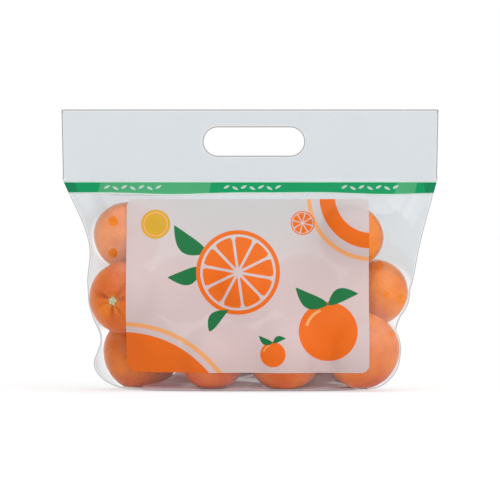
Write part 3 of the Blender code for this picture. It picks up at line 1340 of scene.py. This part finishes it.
    def reads(self, face: FilmFace) -> np.ndarray:
        """Works out the numbers that the film's and the print's materials read.

        Args:
            face: one face of the bag.

        Returns:
            For each point, how open the film is, how hazy it is and how much fruit is behind it.
        """
        net = face.points
        in_the_open = np.clip(1 + (self.heap.miss(net) + self.open_margin) / self.open_width, 0, 1)
        turned_sideways = self.open_turn - np.abs(face.normals()[..., 1])
        in_the_open *= np.clip(1 - turned_sideways / self.open_turn_fade, 0, 1)
        above_gusset = np.clip((net[..., 2] - self.gusset_top) / self.gusset_fade, 0, 1)
        beside_gusset = np.clip((np.abs(net[..., 0]) - self.gusset_half) / self.gusset_fade, 0, 1)
        in_the_open *= np.maximum(above_gusset, beside_gusset)
        haze = np.full(net.shape[:2], self.usual_haze)
        for x, z, radius, more in self.haze_spots:
            aside = np.hypot(net[..., 0] - x, net[..., 2] - z)
            haze += more * np.exp(-((aside / radius) ** 2))
        return np.stack([in_the_open, haze, self.heap.crowd(net)], axis=2)


def inside(points: np.ndarray, outline: np.ndarray) -> np.ndarray:
    """Tests which points lie inside a closed outline.

    Args:
        points: the points, as rows of two.
        outline: the outline's corners in order.

    Returns:
        True for each point that lies inside.
    """
    result = np.zeros(len(points), bool)
    near = np.flatnonzero(np.all((points >= outline.min(0)) & (points <= outline.max(0)), axis=1))
    x, y = points[near].T
    crossings = np.zeros(len(near), int)
    for (x0, y0), (x1, y1) in zip(outline, np.roll(outline, -1, axis=0)):
        if y0 != y1:
            spans = (y0 > y) != (y1 > y)
            crossings += spans & (x < x0 + (y - y0) * (x1 - x0) / (y1 - y0))
    result[near] = crossings % 2 == 1
    return result


def arc(centre: Point, radius: float, start: float, end: float, corners: int) -> np.ndarray:
    """Returns points along an arc from one angle to another, both in degrees."""
    turn = np.radians(np.linspace(start, end, corners))
    return np.column_stack([centre[0] + radius * np.cos(turn), centre[1] + radius * np.sin(turn)])


def disc(centre: Point, radius: float, corners: int = 48) -> np.ndarray:
    """Returns a round outline."""
    return arc(centre, radius, 0, 360, corners + 1)[:-1]


def arc_band(
    centre: Point, inner: float, outer: float, start: float, end: float, corners: int = 40
) -> np.ndarray:
    """Draws a band between two arcs.

    Args:
        centre: the arcs' middle.
        inner: the inner radius.
        outer: the outer radius.
        start: the angle where it begins, in degrees.
        end: the angle where it ends.
        corners: how many points each arc has.

    Returns:
        The outline.
    """
    return np.concatenate([arc(centre, outer, start, end, corners), arc(centre, inner, end, start, corners)])


def filled_in(outline: np.ndarray, longest: float) -> np.ndarray:
    """Adds points along an outline's straight runs.

    Args:
        outline: the corners in order.
        longest: the longest step allowed.

    Returns:
        The outline with more points.
    """
    filled = []
    for start, end in zip(outline, np.roll(outline, -1, axis=0)):
        steps = max(1, math.ceil(np.linalg.norm(end - start) / longest))
        filled.extend(start + (end - start) * i / steps for i in range(steps))
    return np.array(filled)


def slot_outline(centre: Point, length: float, height: float) -> np.ndarray:
    """Draws a long hole with half-round ends.

    Args:
        centre: its middle.
        length: its length.
        height: its height.

    Returns:
        The outline.
    """
    x, z = centre
    radius = height / 2
    straight = length / 2 - radius
    right = arc((x + straight, z), radius, -90, 90, SLOT_END_POINTS)
    left = arc((x - straight, z), radius, 90, 270, SLOT_END_POINTS)
    return filled_in(np.concatenate([right, left]), SLOT_STEP)


def rounded_box(low: Point, high: Point, radii: tuple[float, float, float, float]) -> np.ndarray:
    """Draws a box with round corners.

    Args:
        low: its lower left corner.
        high: its upper right corner.
        radii: the corners' radii, from the lower left round by the lower right.

    Returns:
        The outline.
    """
    corners = (
        ((low[0], low[1]), (1, 1), 180),
        ((high[0], low[1]), (-1, 1), 270),
        ((high[0], high[1]), (-1, -1), 0),
        ((low[0], high[1]), (1, -1), 90),
    )
    runs = []
    for ((x, z), (inward_x, inward_z), start), radius in zip(corners, radii):
        middle = (x + inward_x * radius, z + inward_z * radius)
        runs.append(arc(middle, radius, start, start + 90, BOX_CORNER_POINTS))
    return filled_in(np.concatenate(runs), BOX_STEP)


def leaf(
    base: Point, length: float, width: float, lean: float, bend: float = 0.15, steps: int = 22
) -> np.ndarray:
    """Draws a pointed leaf.

    Args:
        base: where its stalk is.
        length: its length.
        width: its greatest width.
        lean: the way it points, in degrees from +X.
        bend: how far its middle line bows out, as a share of its length.
        steps: how many points each side has.

    Returns:
        The outline.
    """
    t = np.linspace(0, 1, steps)
    bow = bend * length * np.sin(math.pi * t)
    half = width / 2 * np.sin(math.pi * t**0.85) ** 0.9
    upper = np.column_stack([length * t, bow + half])
    lower = np.column_stack([length * t, bow - half])[::-1][1:-1]
    c, s = math.cos(math.radians(lean)), math.sin(math.radians(lean))
    return np.concatenate([upper, lower]) @ np.array([[c, s], [-s, c]]) + base


def segment(centre: Point, inner: float, outer: float, middle: float, spread: float) -> np.ndarray:
    """Draws one rounded segment of a cut citrus.

    Args:
        centre: the slice's middle.
        inner: how far the segment's point is from it.
        outer: how far its round end is.
        middle: the way it points, in degrees.
        spread: the angle it fills.

    Returns:
        The outline.
    """
    half = spread / 2
    rim = arc(centre, outer, middle - half * 0.86, middle + half * 0.86, 9)
    shoulders = arc(centre, outer * 0.90, middle + half, middle - half, 2)
    tip = arc(centre, inner, middle, middle, 1)
    return filled_in(np.concatenate([rim, shoulders[:1], tip, shoulders[1:]]), SEGMENT_STEP)


@dataclass(frozen=True)
class Zone:
    """A patch of a face with its own ink or film."""

    kind: Ink | FilmPart
    outline: np.ndarray
    kept_in: np.ndarray | None = None


@dataclass
class CutSheet:
    """A face of the bag cut into triangles along every outline on it."""

    face: FilmFace
    outlines: list[np.ndarray]
    crowding: float = 0.45
    merged_within: float = 1e-5
    places: np.ndarray = field(init=False)
    triangles: np.ndarray = field(init=False)

    def __post_init__(self) -> None:
        """Joins the net's points and the outlines' points into triangles that no outline crosses."""
        drawn = [self.face.net_place(outline) for outline in self.outlines]
        points = [tuple(p) for p in self.open_nodes(np.concatenate(drawn))]
        edges = []
        for outline in drawn:
            start = len(points)
            points.extend(tuple(p) for p in outline)
            edges.extend((start + i, start + (i + 1) % len(outline)) for i in range(len(outline)))
        found = delaunay_2d_cdt(points, edges, [], 0, self.merged_within, False)
        self.places = np.array([p[:] for p in found[0]])
        self.triangles = np.array([face for face in found[2] if len(face) == 3])

    def open_nodes(self, marks: np.ndarray) -> np.ndarray:
        """Leaves out the net's points that crowd an outline, apart from those on the sheet's own edge.

        Args:
            marks: the outlines' places.

        Returns:
            The places of the nodes that stay.
        """
        rows, columns = self.face.points.shape[:2]
        crowded = np.zeros((rows, columns), bool)
        near = np.rint(marks).astype(int)
        close = np.linalg.norm(marks - near, axis=1) < self.crowding
        crowded[near[close, 1], near[close, 0]] = True
        crowded[0], crowded[-1], crowded[:, 0], crowded[:, -1] = False, False, False, False
        row, column = np.nonzero(~crowded)
        return np.column_stack([column, row]).astype(float)

    def middles(self) -> np.ndarray:
        """Returns the middle of each triangle as (x, z) seen from the front."""
        points = self.face.read(self.face.points, self.places)
        return points[self.triangles].mean(axis=1)[:, [0, 2]]

    def in_zone(self, middles: np.ndarray, zone: Zone) -> np.ndarray:
        """Finds the triangles of a zone.

        Args:
            middles: the triangles' middles.
            zone: the zone.

        Returns:
            True for each triangle in it.
        """
        found = inside(middles, zone.outline)
        if zone.kept_in is not None:
            found &= inside(middles, zone.kept_in)
        return found


@dataclass
class Sheets:
    """Triangles of several faces gathered for one piece, with the normals that they are shaded by."""

    points: list[np.ndarray] = field(default_factory=list)
    normals: list[np.ndarray] = field(default_factory=list)
    reads: list[np.ndarray] = field(default_factory=list)
    triangles: list[np.ndarray] = field(default_factory=list)
    slots: list[np.ndarray] = field(default_factory=list)
    count: int = 0

    def add(
        self,
        points: np.ndarray,
        normals: np.ndarray,
        reads: np.ndarray,
        faces: np.ndarray,
        slots: np.ndarray,
    ) -> None:
        """Takes one sheet of triangles.

        Args:
            points: its points.
            normals: the outward normal at each.
            reads: the numbers at each that its materials read.
            faces: its triangles.
            slots: each triangle's material number.
        """
        self.points.append(points)
        self.normals.append(normals)
        self.reads.append(reads)
        self.triangles.append(faces + self.count)
        self.slots.append(slots)
        self.count += len(points)

    def add_cut(self, sheet: CutSheet, chosen: np.ndarray, slots: np.ndarray, lift: float) -> None:
        """Takes some of a cut sheet's triangles.

        Args:
            sheet: the sheet.
            chosen: True for each triangle that is taken.
            slots: every triangle's material number.
            lift: how far they stand off the film, in metres.
        """
        face = sheet.face
        used, numbered = np.unique(sheet.triangles[chosen], return_inverse=True)
        places = sheet.places[used]
        normals = face.read(face.normals(), places)
        normals /= np.linalg.norm(normals, axis=1)[:, None]
        faces = numbered.reshape(-1, 3)
        if face.facing is Facing.BACK:
            faces = faces[:, ::-1]
        points = face.read(face.points, places) + normals * lift
        self.add(points, normals, face.read(face.reads, places), faces, slots[chosen])

    def build(self, name: str, slot: str, materials: Sequence[bpy.types.Material]) -> None:
        """Makes the piece.

        Args:
            name: the piece's name.
            slot: not used.
            materials: its materials, by number.
        """
        piece = new_piece(name, np.concatenate(self.points), np.concatenate(self.triangles), materials)
        piece.data.polygons.foreach_set("material_index", np.concatenate(self.slots).astype(np.int32))
        for read, values in zip(FILM_READS, np.concatenate(self.reads).T):
            keep_numbers(piece, read, values)
        piece.data.normals_split_custom_set_from_vertices([tuple(n) for n in np.concatenate(self.normals)])
        settle_on(piece)


@dataclass
class PrintDesign:
    """The plain fruit pattern on the front and the green bands on both faces, as seen from the front."""

    panel_low: Point = (-0.1032, 0.0156)
    panel_high: Point = (0.0992, 0.1600)
    panel_radii: tuple[float, float, float, float] = (0.0105, 0.0070, 0.0030, 0.0065)
    band_low: float = 0.1652
    band_high: float = 0.1740
    border: float = 0.0011
    band_wave: float = 0.0007
    wave_counts: Point = (34, 71)
    wave_start: float = 0.6
    wave_share: float = 0.4
    reach: float = 0.165
    patch_margin: float = 0.002
    pale_stretches: tuple[Point, ...] = ((-0.128, -0.035), (0.121, 0.138))
    pale_slant: float = 0.003
    folded_ends: tuple[Place, ...] = ((-0.165, -0.1438, -0.0040), (0.1475, 0.165, -0.0020))
    sprig_middles: tuple[float, ...] = (-0.0983, 0.0021, 0.1008)
    sprig_half_count: int = 3
    sprig_step: float = 0.0072
    sprig_lean: float = 28
    sprig_offset: Point = (-0.0026, -0.0008)
    sprig_leaf: Point = (0.0058, 0.0021)
    sprig_leaf_points: int = 7
    pith_share: float = 0.90
    segment_reach: Point = (0.10, 0.84)
    segment_start: float = 8
    segment_share: float = 0.86
    stalk_share: float = 0.90
    sheen_reach: Point = (0.70, 0.80)
    gold_ring: Point = (0.76, 0.84)
    slice_centre: Point = (-0.010, 0.099)
    slice_radius: float = 0.035
    segments: int = 10
    whole_centre: Point = (0.065, 0.050)
    whole_radius: float = 0.0245
    gold_centre: Point = (-0.0790, 0.1390)
    gold_radius: float = 0.0122

    def panel(self) -> np.ndarray:
        """Returns the white panel's outline."""
        return rounded_box(self.panel_low, self.panel_high, self.panel_radii)

    def band(self, low: float, high: float) -> np.ndarray:
        """Draws a level band right across the bag, with a slight wave along its lower edge.

        Args:
            low: its lower edge's height.
            high: its upper edge's height.

        Returns:
            The outline.
        """
        x = np.linspace(-self.reach, self.reach, STRIP_POINTS)
        slow, quick = self.wave_counts
        wave = self.band_wave * (np.sin(x * slow + self.wave_start) - self.wave_share * np.sin(x * quick))
        lower = np.column_stack([x, low + wave])
        upper = np.column_stack([x[::-1], np.full_like(x, high)])
        return np.concatenate([lower, upper])

    def slanted_patch(self, start: float, end: float, slant: float) -> np.ndarray:
        """Returns a patch of the band between two slanting lines."""
        low, high = self.band_low - self.patch_margin, self.band_high + self.patch_margin
        return np.array([(start, low), (end, low), (end + slant, high), (start + slant, high)])

    def bands(self) -> list[Zone]:
        """Returns the green band with its folded ends and pale stretches, and the pale borders beside it."""
        band = self.band(self.band_low, self.band_high)
        pale = [self.slanted_patch(start, end, self.pale_slant) for start, end in self.pale_stretches]
        folded = [self.slanted_patch(*ends) for ends in self.folded_ends]
        return [
            Zone(Ink.MINT, self.band(self.band_low - self.border, self.band_high + self.border)),
            Zone(Ink.BAND, band),
            *[Zone(Ink.PALE_BAND, patch, band) for patch in pale],
            *[Zone(Ink.DEEP_BAND, patch, band) for patch in folded],
        ]

    def sprigs(self) -> list[Zone]:
        """Returns the rows of small pale leaves along the band."""
        zones = []
        middle = (self.band_low + self.band_high) / 2
        aside, down = self.sprig_offset
        for centre in self.sprig_middles:
            for number in range(-self.sprig_half_count, self.sprig_half_count + 1):
                side = 1 if number % 2 else -1
                base = (centre + number * self.sprig_step + aside, middle + down * side)
                shape = leaf(base, *self.sprig_leaf, self.sprig_lean * side, 0.0, self.sprig_leaf_points)
                zones.append(Zone(Ink.MINT, shape))
        return zones

    def cut_fruit(self, centre: Point, radius: float, segments: int) -> list[Zone]:
        """Draws a round slice of fruit.

        Args:
            centre: its middle.
            radius: its radius.
            segments: how many segments it shows.

        Returns:
            Its zones.
        """
        step = 360 / segments
        inner, outer = (radius * share for share in self.segment_reach)
        pith = disc(centre, radius * self.pith_share, 74)
        zones = [Zone(Ink.ORANGE, disc(centre, radius, 80)), Zone(Ink.WHITE, pith)]
        for number in range(segments):
            turn = self.segment_start + number * step
            zones.append(Zone(Ink.ORANGE, segment(centre, inner, outer, turn, step * self.segment_share)))
        return zones

    def whole_fruit(self, centre: Point, radius: float) -> list[Zone]:
        """Draws a whole fruit with two leaves.

        Args:
            centre: its middle.
            radius: its radius.

        Returns:
            Its zones.
        """
        top = (centre[0], centre[1] + radius * self.stalk_share)
        inner, outer = (radius * share for share in self.sheen_reach)
        return [
            Zone(Ink.ORANGE, disc(centre, radius, 70)),
            Zone(Ink.APRICOT, arc_band(centre, inner, outer, 110, 165, 12)),
            Zone(Ink.LEAF, leaf(top, radius * 1.25, radius * 0.51, 152)),
            Zone(Ink.LEAF, leaf(top, radius * 1.10, radius * 0.46, 20)),
        ]

    def front(self) -> list[Zone]:
        """Returns every printed zone of the front, from the lowest layer up."""
        panel = self.panel()
        left, foot = self.panel_low
        right, top = self.panel_high
        slice_x, slice_z = self.slice_centre
        corner, hill = (right + 0.002, top + 0.002), (left - 0.004, foot - 0.062)
        ring_inner, ring_outer = (self.gold_radius * share for share in self.gold_ring)
        drawn = [
            Zone(Ink.ORANGE, arc_band(corner, 0.030, 0.043, 170, 280)),
            Zone(Ink.APRICOT, arc_band(corner, 0.050, 0.0535, 170, 280)),
            Zone(Ink.ORANGE, arc_band(hill, 0.060, 0.096, 0, 90, 60)),
            Zone(Ink.APRICOT, arc_band(hill, 0.101, 0.1045, 0, 90, 60)),
            Zone(Ink.LEAF, leaf((slice_x - 0.026, slice_z + 0.016), 0.036, 0.015, 140)),
            Zone(Ink.LEAF, leaf((slice_x - 0.030, slice_z + 0.004), 0.030, 0.013, 196)),
            *self.cut_fruit(self.slice_centre, self.slice_radius, self.segments),
            *self.cut_fruit((0.0440, 0.1400), 0.0100, 8),
            *self.whole_fruit(self.whole_centre, self.whole_radius),
            *self.whole_fruit((0.0190, 0.0310), 0.0105),
            Zone(Ink.LEAF, leaf((-0.034, 0.050), 0.024, 0.010, 48)),
            Zone(Ink.GOLD, disc(self.gold_centre, self.gold_radius, 50)),
            Zone(Ink.APRICOT, arc_band(self.gold_centre, ring_inner, ring_outer, 0, 359.9)),
        ]
        inner = [Zone(zone.kind, zone.outline, panel) for zone in drawn]
        return [Zone(Ink.WHITE, panel), *inner, *self.bands(), *self.sprigs()]


@dataclass
class FilmBag:
    """The film with its vents, hand slot, seals and cut edges, and the print on it."""

    pouch: Pouch
    design: PrintDesign = field(default_factory=PrintDesign)
    slot_centre: Point = (0.0033, 0.2083)
    slot_length: float = 0.0845
    slot_height: float = 0.0238
    vent_radius: float = 0.0040
    vents: tuple[Point, ...] = (
        (-0.1145, 0.1415),
        (-0.1146, 0.1149),
        (-0.1148, 0.0381),
        (0.1078, 0.1045),
        (0.1265, 0.0762),
    )
    small_vent_radius: float = 0.0026
    small_vents: tuple[Point, ...] = ((0.1140, 0.0802), (0.1188, 0.0483), (-0.1128, 0.0811))
    edge_line: float = 0.0008
    seal_line: float = 0.0019
    print_lift: float = 0.00012
    base_lift: float = 0.0002
    base_rows: int = 60
    gusset_rise: float = 0.0035
    gusset_gap: float = 0.010
    gusset_rounds: int = 40
    gusset_lift: float = 0.00004
    ridge_rise: float = 0.0140
    ridge_share: float = 0.58
    ridge_width: float = 0.17
    base_edges: dict[Facing, np.ndarray] = field(default_factory=dict)

    def holes(self) -> list[np.ndarray]:
        """Returns the outlines punched out of both films."""
        vents = [disc(place, self.vent_radius, 26) for place in self.vents]
        vents += [disc(place, self.small_vent_radius, 16) for place in self.small_vents]
        return [slot_outline(self.slot_centre, self.slot_length, self.slot_height), *vents]

    def level_strip(self, low: float, high: float) -> np.ndarray:
        """Returns the outline of a strip across the whole bag."""
        x = np.linspace(-self.design.reach, self.design.reach, STRIP_POINTS)
        lower = np.column_stack([x, np.full_like(x, low)])
        upper = np.column_stack([x[::-1], np.full_like(x, high)])
        return np.concatenate([lower, upper])

    def edge_zones(self) -> list[Zone]:
        """Returns the seals and cut edges along the top, round the hand slot and along the base."""
        top = self.pouch.height
        zones = []
        for kind, width in ((FilmPart.SEAL, self.seal_line), (FilmPart.EDGE, self.edge_line)):
            zones.append(Zone(kind, self.level_strip(top - width, top)))
            ring = slot_outline(self.slot_centre, self.slot_length + 2 * width, self.slot_height + 2 * width)
            zones.append(Zone(kind, ring))
        zones.append(Zone(FilmPart.SEAL, self.level_strip(0.0, self.seal_line)))
        zones.append(Zone(FilmPart.EDGE, self.level_strip(0.0, self.edge_line / 2)))
        return zones

    def mark_fins(self, sheet: CutSheet, slots: np.ndarray) -> None:
        """Marks the fins of the side seams: a dark cut edge outside, a pale seal inside.

        Args:
            sheet: the cut face.
            slots: each triangle's material number, changed in place.
        """
        columns = sheet.face.points.shape[1]
        middles = sheet.places[sheet.triangles].mean(axis=1)[:, 0]
        from_edge = np.minimum(middles, columns - 1 - middles)
        slots[from_edge < self.pouch.fin_columns] = number_of(FilmPart.SEAL)
        slots[from_edge < self.pouch.fin_columns / 2] = number_of(FilmPart.EDGE)

    def add_face(self, facing: Facing, film: Sheets, ink: Sheets) -> None:
        """Cuts one face and adds its film and its print.

        Args:
            facing: which face it is.
            film: where its film goes.
            ink: where its print goes.
        """
        printed = self.design.front() if facing is Facing.FRONT else self.design.bands()
        edges = self.edge_zones()
        holes = self.holes()
        drawn = [zone.outline for zone in [*printed, *edges]]
        sheet = CutSheet(self.pouch.face(facing), [*holes, *drawn])
        middles = sheet.middles()
        solid = np.ones(len(middles), bool)
        for hole in holes:
            solid &= ~inside(middles, hole)
        slots = np.zeros(len(middles), int)
        for zone in edges:
            slots[sheet.in_zone(middles, zone)] = number_of(zone.kind)
        self.mark_fins(sheet, slots)
        film.add_cut(sheet, solid, slots, 0.0)
        inks = np.full(len(middles), -1)
        for zone in printed:
            inks[sheet.in_zone(middles, zone)] = number_of(zone.kind)
        ink.add_cut(sheet, solid & (inks >= 0), inks, self.print_lift)
        self.base_edges[facing] = sheet.face.points[0]

    def gusset_net(self) -> np.ndarray:
        """Shapes the gusset: flat at its rim and under the fruit, folded up along its middle in between.

        Returns:
            The (row, column, xyz) points.
        """
        share = np.linspace(0, 1, self.base_rows + 1)[:, None, None]
        net = self.base_edges[Facing.FRONT] * (1 - share) + self.base_edges[Facing.BACK] * share
        ridge = np.exp(-(((share[..., 0] - self.ridge_share) / self.ridge_width) ** 2))
        under = np.broadcast_to(self.gusset_rise + self.ridge_rise * ridge, net.shape[:2])
        for centre, radius in zip(self.pouch.heap.centres, self.pouch.heap.radii):
            aside = np.hypot(net[..., 0] - centre[0], net[..., 1] - centre[1])
            clear = radius + self.pouch.film_clearance
            sole = centre[2] - np.sqrt(np.maximum(clear**2 - aside**2, 0))
            under = np.where(aside < clear, np.minimum(under, sole), under)
        under = np.maximum(under, self.base_lift)
        rise = under.copy()
        rise[0] = rise[-1] = rise[:, 0] = rise[:, -1] = self.base_lift
        for _ in range(self.gusset_rounds):
            middle = (rise[:-2, 1:-1] + rise[2:, 1:-1] + rise[1:-1, :-2] + rise[1:-1, 2:]) / 4
            rise[1:-1, 1:-1] = np.minimum(middle + self.gusset_lift, under[1:-1, 1:-1])
        net[..., 2] = rise
        return net

    def add_gusset(self, film: Sheets) -> None:
        """Adds the gusset between the lower edges of both faces.

        Args:
            film: where it goes.
        """
        net = self.gusset_net()
        rows, columns = net.shape[:2]
        down = np.cross(np.gradient(net, axis=0), np.gradient(net, axis=1))
        down /= np.maximum(np.linalg.norm(down, axis=2, keepdims=True), TINY)
        low = (np.arange(rows - 1)[:, None] * columns + np.arange(columns - 1)).ravel()
        first = np.column_stack([low, low + columns, low + 1])
        second = np.column_stack([low + 1, low + columns, low + columns + 1])
        faces = np.concatenate([first, second])
        points = net.reshape(-1, 3)
        off_fruit = np.clip(self.pouch.heap.distance(points) / self.gusset_gap, 0, 1)
        reads = np.column_stack([off_fruit, np.zeros_like(off_fruit), np.ones_like(off_fruit)])
        # Its material paints the shade of the gaps between the lowest fruit
        slots = np.full(len(faces), number_of(FilmPart.GUSSET))
        film.add(points, down.reshape(-1, 3), reads, faces, slots)

    def build(self) -> None:
        """Builds the film and the print."""
        film, ink = Sheets(), Sheets()
        self.add_face(Facing.FRONT, film, ink)
        self.add_face(Facing.BACK, film, ink)
        self.add_gusset(film)
        film.build("film_bag", "film", [finish.material() for finish in FILM_FINISHES])
        ink.build("print", "print", [finish.material() for finish in INK_FINISHES])


@dataclass(frozen=True)
class SoftBox:
    """A soft studio light: where it is, how large and how strong."""

    name: str
    place: Place
    size: Point
    watts: float


@dataclass
class Studio:
    """The pale floor, the bright air round it, the lights and the camera."""

    aim: Place = (0.0, 0.0, 0.1172)
    distance: float = 5.0
    field_width: float = 0.420
    sensor: float = 36.0
    elevation: float = 0.8
    floor_colour: Colour = (0.40, 0.40, 0.40)
    floor_glow: float = 0.565
    floor_shade: float = 0.99
    floor_patch: float = 0.4
    floor_roughness: float = 0.9
    floor_reach: float = 12.0
    floor_drop: float = 0.0004
    horizon_glow: float = 1.0
    ceiling_glow: float = 0.42
    glow_from: float = 0.15
    glow_to: float = 0.60
    sun_from: Place = (0.18, -0.24, 1.00)
    sun_strength: float = 2.00
    sun_spread: float = 100.0
    lights: tuple[SoftBox, ...] = (
        SoftBox("key", (1.2, -1.5, 1.1), (1.6, 1.6), 6.0),
        SoftBox("fill", (-1.1, -1.8, 0.25), (1.8, 1.2), 4.8),
        SoftBox("low", (1.3, -1.6, 0.20), (1.4, 0.9), 3.4),
    )

    def build_floor(self) -> None:
        """Lays the pale floor."""
        reach = self.floor_reach
        corners = [(-reach, -reach), (reach, -reach), (reach, reach), (-reach, reach)]
        points = np.array([(x, y, -self.floor_drop) for x, y in corners])
        dress = Dressing("paper")
        shade = tuple(self.floor_shade * channel for channel in self.floor_colour)
        colour = dress.blend(dress.mottle(self.floor_patch), self.floor_colour, shade)
        dress.set(Base_Color=colour, Roughness=self.floor_roughness)
        dress.set(Specular_IOR_Level=0.0, Emission_Color=(1.0, 1.0, 1.0), Emission_Strength=self.floor_glow)
        floor = new_piece("paper_floor", points, [(0, 1, 2, 3)], [dress.material])

    def hang(self, lamp: bpy.types.Light, place: Place) -> None:
        """Puts a lamp at a place and turns it to the bag.

        Args:
            lamp: the lamp.
            place: where it hangs.
        """
        hung = bpy.data.objects.new(lamp.name, lamp)
        hung.location = place
        hung.rotation_mode = "QUATERNION"
        hung.rotation_quaternion = (Vector(self.aim) - Vector(place)).to_track_quat("-Z", "Y")
        bpy.context.scene.collection.objects.link(hung)

    def build_lights(self) -> None:
        """Hangs the lamps."""
        for box in self.lights:
            lamp = bpy.data.lights.new(box.name, "AREA")
            lamp.shape = "RECTANGLE"
            lamp.size, lamp.size_y = box.size
            lamp.energy = box.watts
            self.hang(lamp, box.place)
        sky = bpy.data.lights.new("soft_sky", "SUN")
        sky.energy = self.sun_strength
        sky.angle = math.radians(self.sun_spread)
        self.hang(sky, self.sun_from)

    def build_air(self) -> None:
        """Sets the even light from all round: white near the horizon, dimmer overhead."""
        world = bpy.data.worlds.new("studio_air")
        world.use_nodes = True
        sheet = NodeSheet(world.node_tree)
        way = sheet.node("ShaderNodeTexCoord", {}, {}, "Generated")
        height = sheet.node("ShaderNodeSeparateXYZ", {}, {"Vector": way}, "Z")
        overhead = sheet.eased(height, self.glow_from, self.glow_to)
        background = world.node_tree.nodes["Background"]
        background.inputs["Color"].default_value = (1.0, 1.0, 1.0, 1.0)
        glow = self.horizon_glow + (self.ceiling_glow - self.horizon_glow) * overhead
        sheet.feed(background.inputs["Strength"], glow)
        bpy.context.scene.world = world

    def build_camera(self) -> None:
        """Sets the camera at the photo's viewing angle."""
        lens = bpy.data.cameras.new("camera")
        lens.sensor_width = self.sensor
        lens.lens = self.sensor * self.distance / self.field_width
        camera = bpy.data.objects.new("camera", lens)
        tilt = math.radians(self.elevation)
        back = Vector((0.0, -math.cos(tilt), math.sin(tilt)))
        camera.location = Vector(self.aim) + back * self.distance
        camera.rotation_mode = "QUATERNION"
        camera.rotation_quaternion = (-back).to_track_quat("-Z", "Y")
        bpy.context.scene.collection.objects.link(camera)
        bpy.context.scene.camera = camera
        bpy.context.scene.view_settings.view_transform = "Standard"

    def build(self) -> None:
        """Builds the whole studio."""
        self.build_camera()
        self.build_floor()
        self.build_lights()
        self.build_air()


def main() -> None:
    """Builds the studio, the fruit and the bag."""
    logging.basicConfig(level=logging.INFO, format="%(name)s: %(message)s")
    Studio().build()
    heap = Heap()
    heap.build_fruit()
    heap.build_buttons()
    FilmBag(Pouch(heap)).build()


if __name__ == "__main__":
    main()
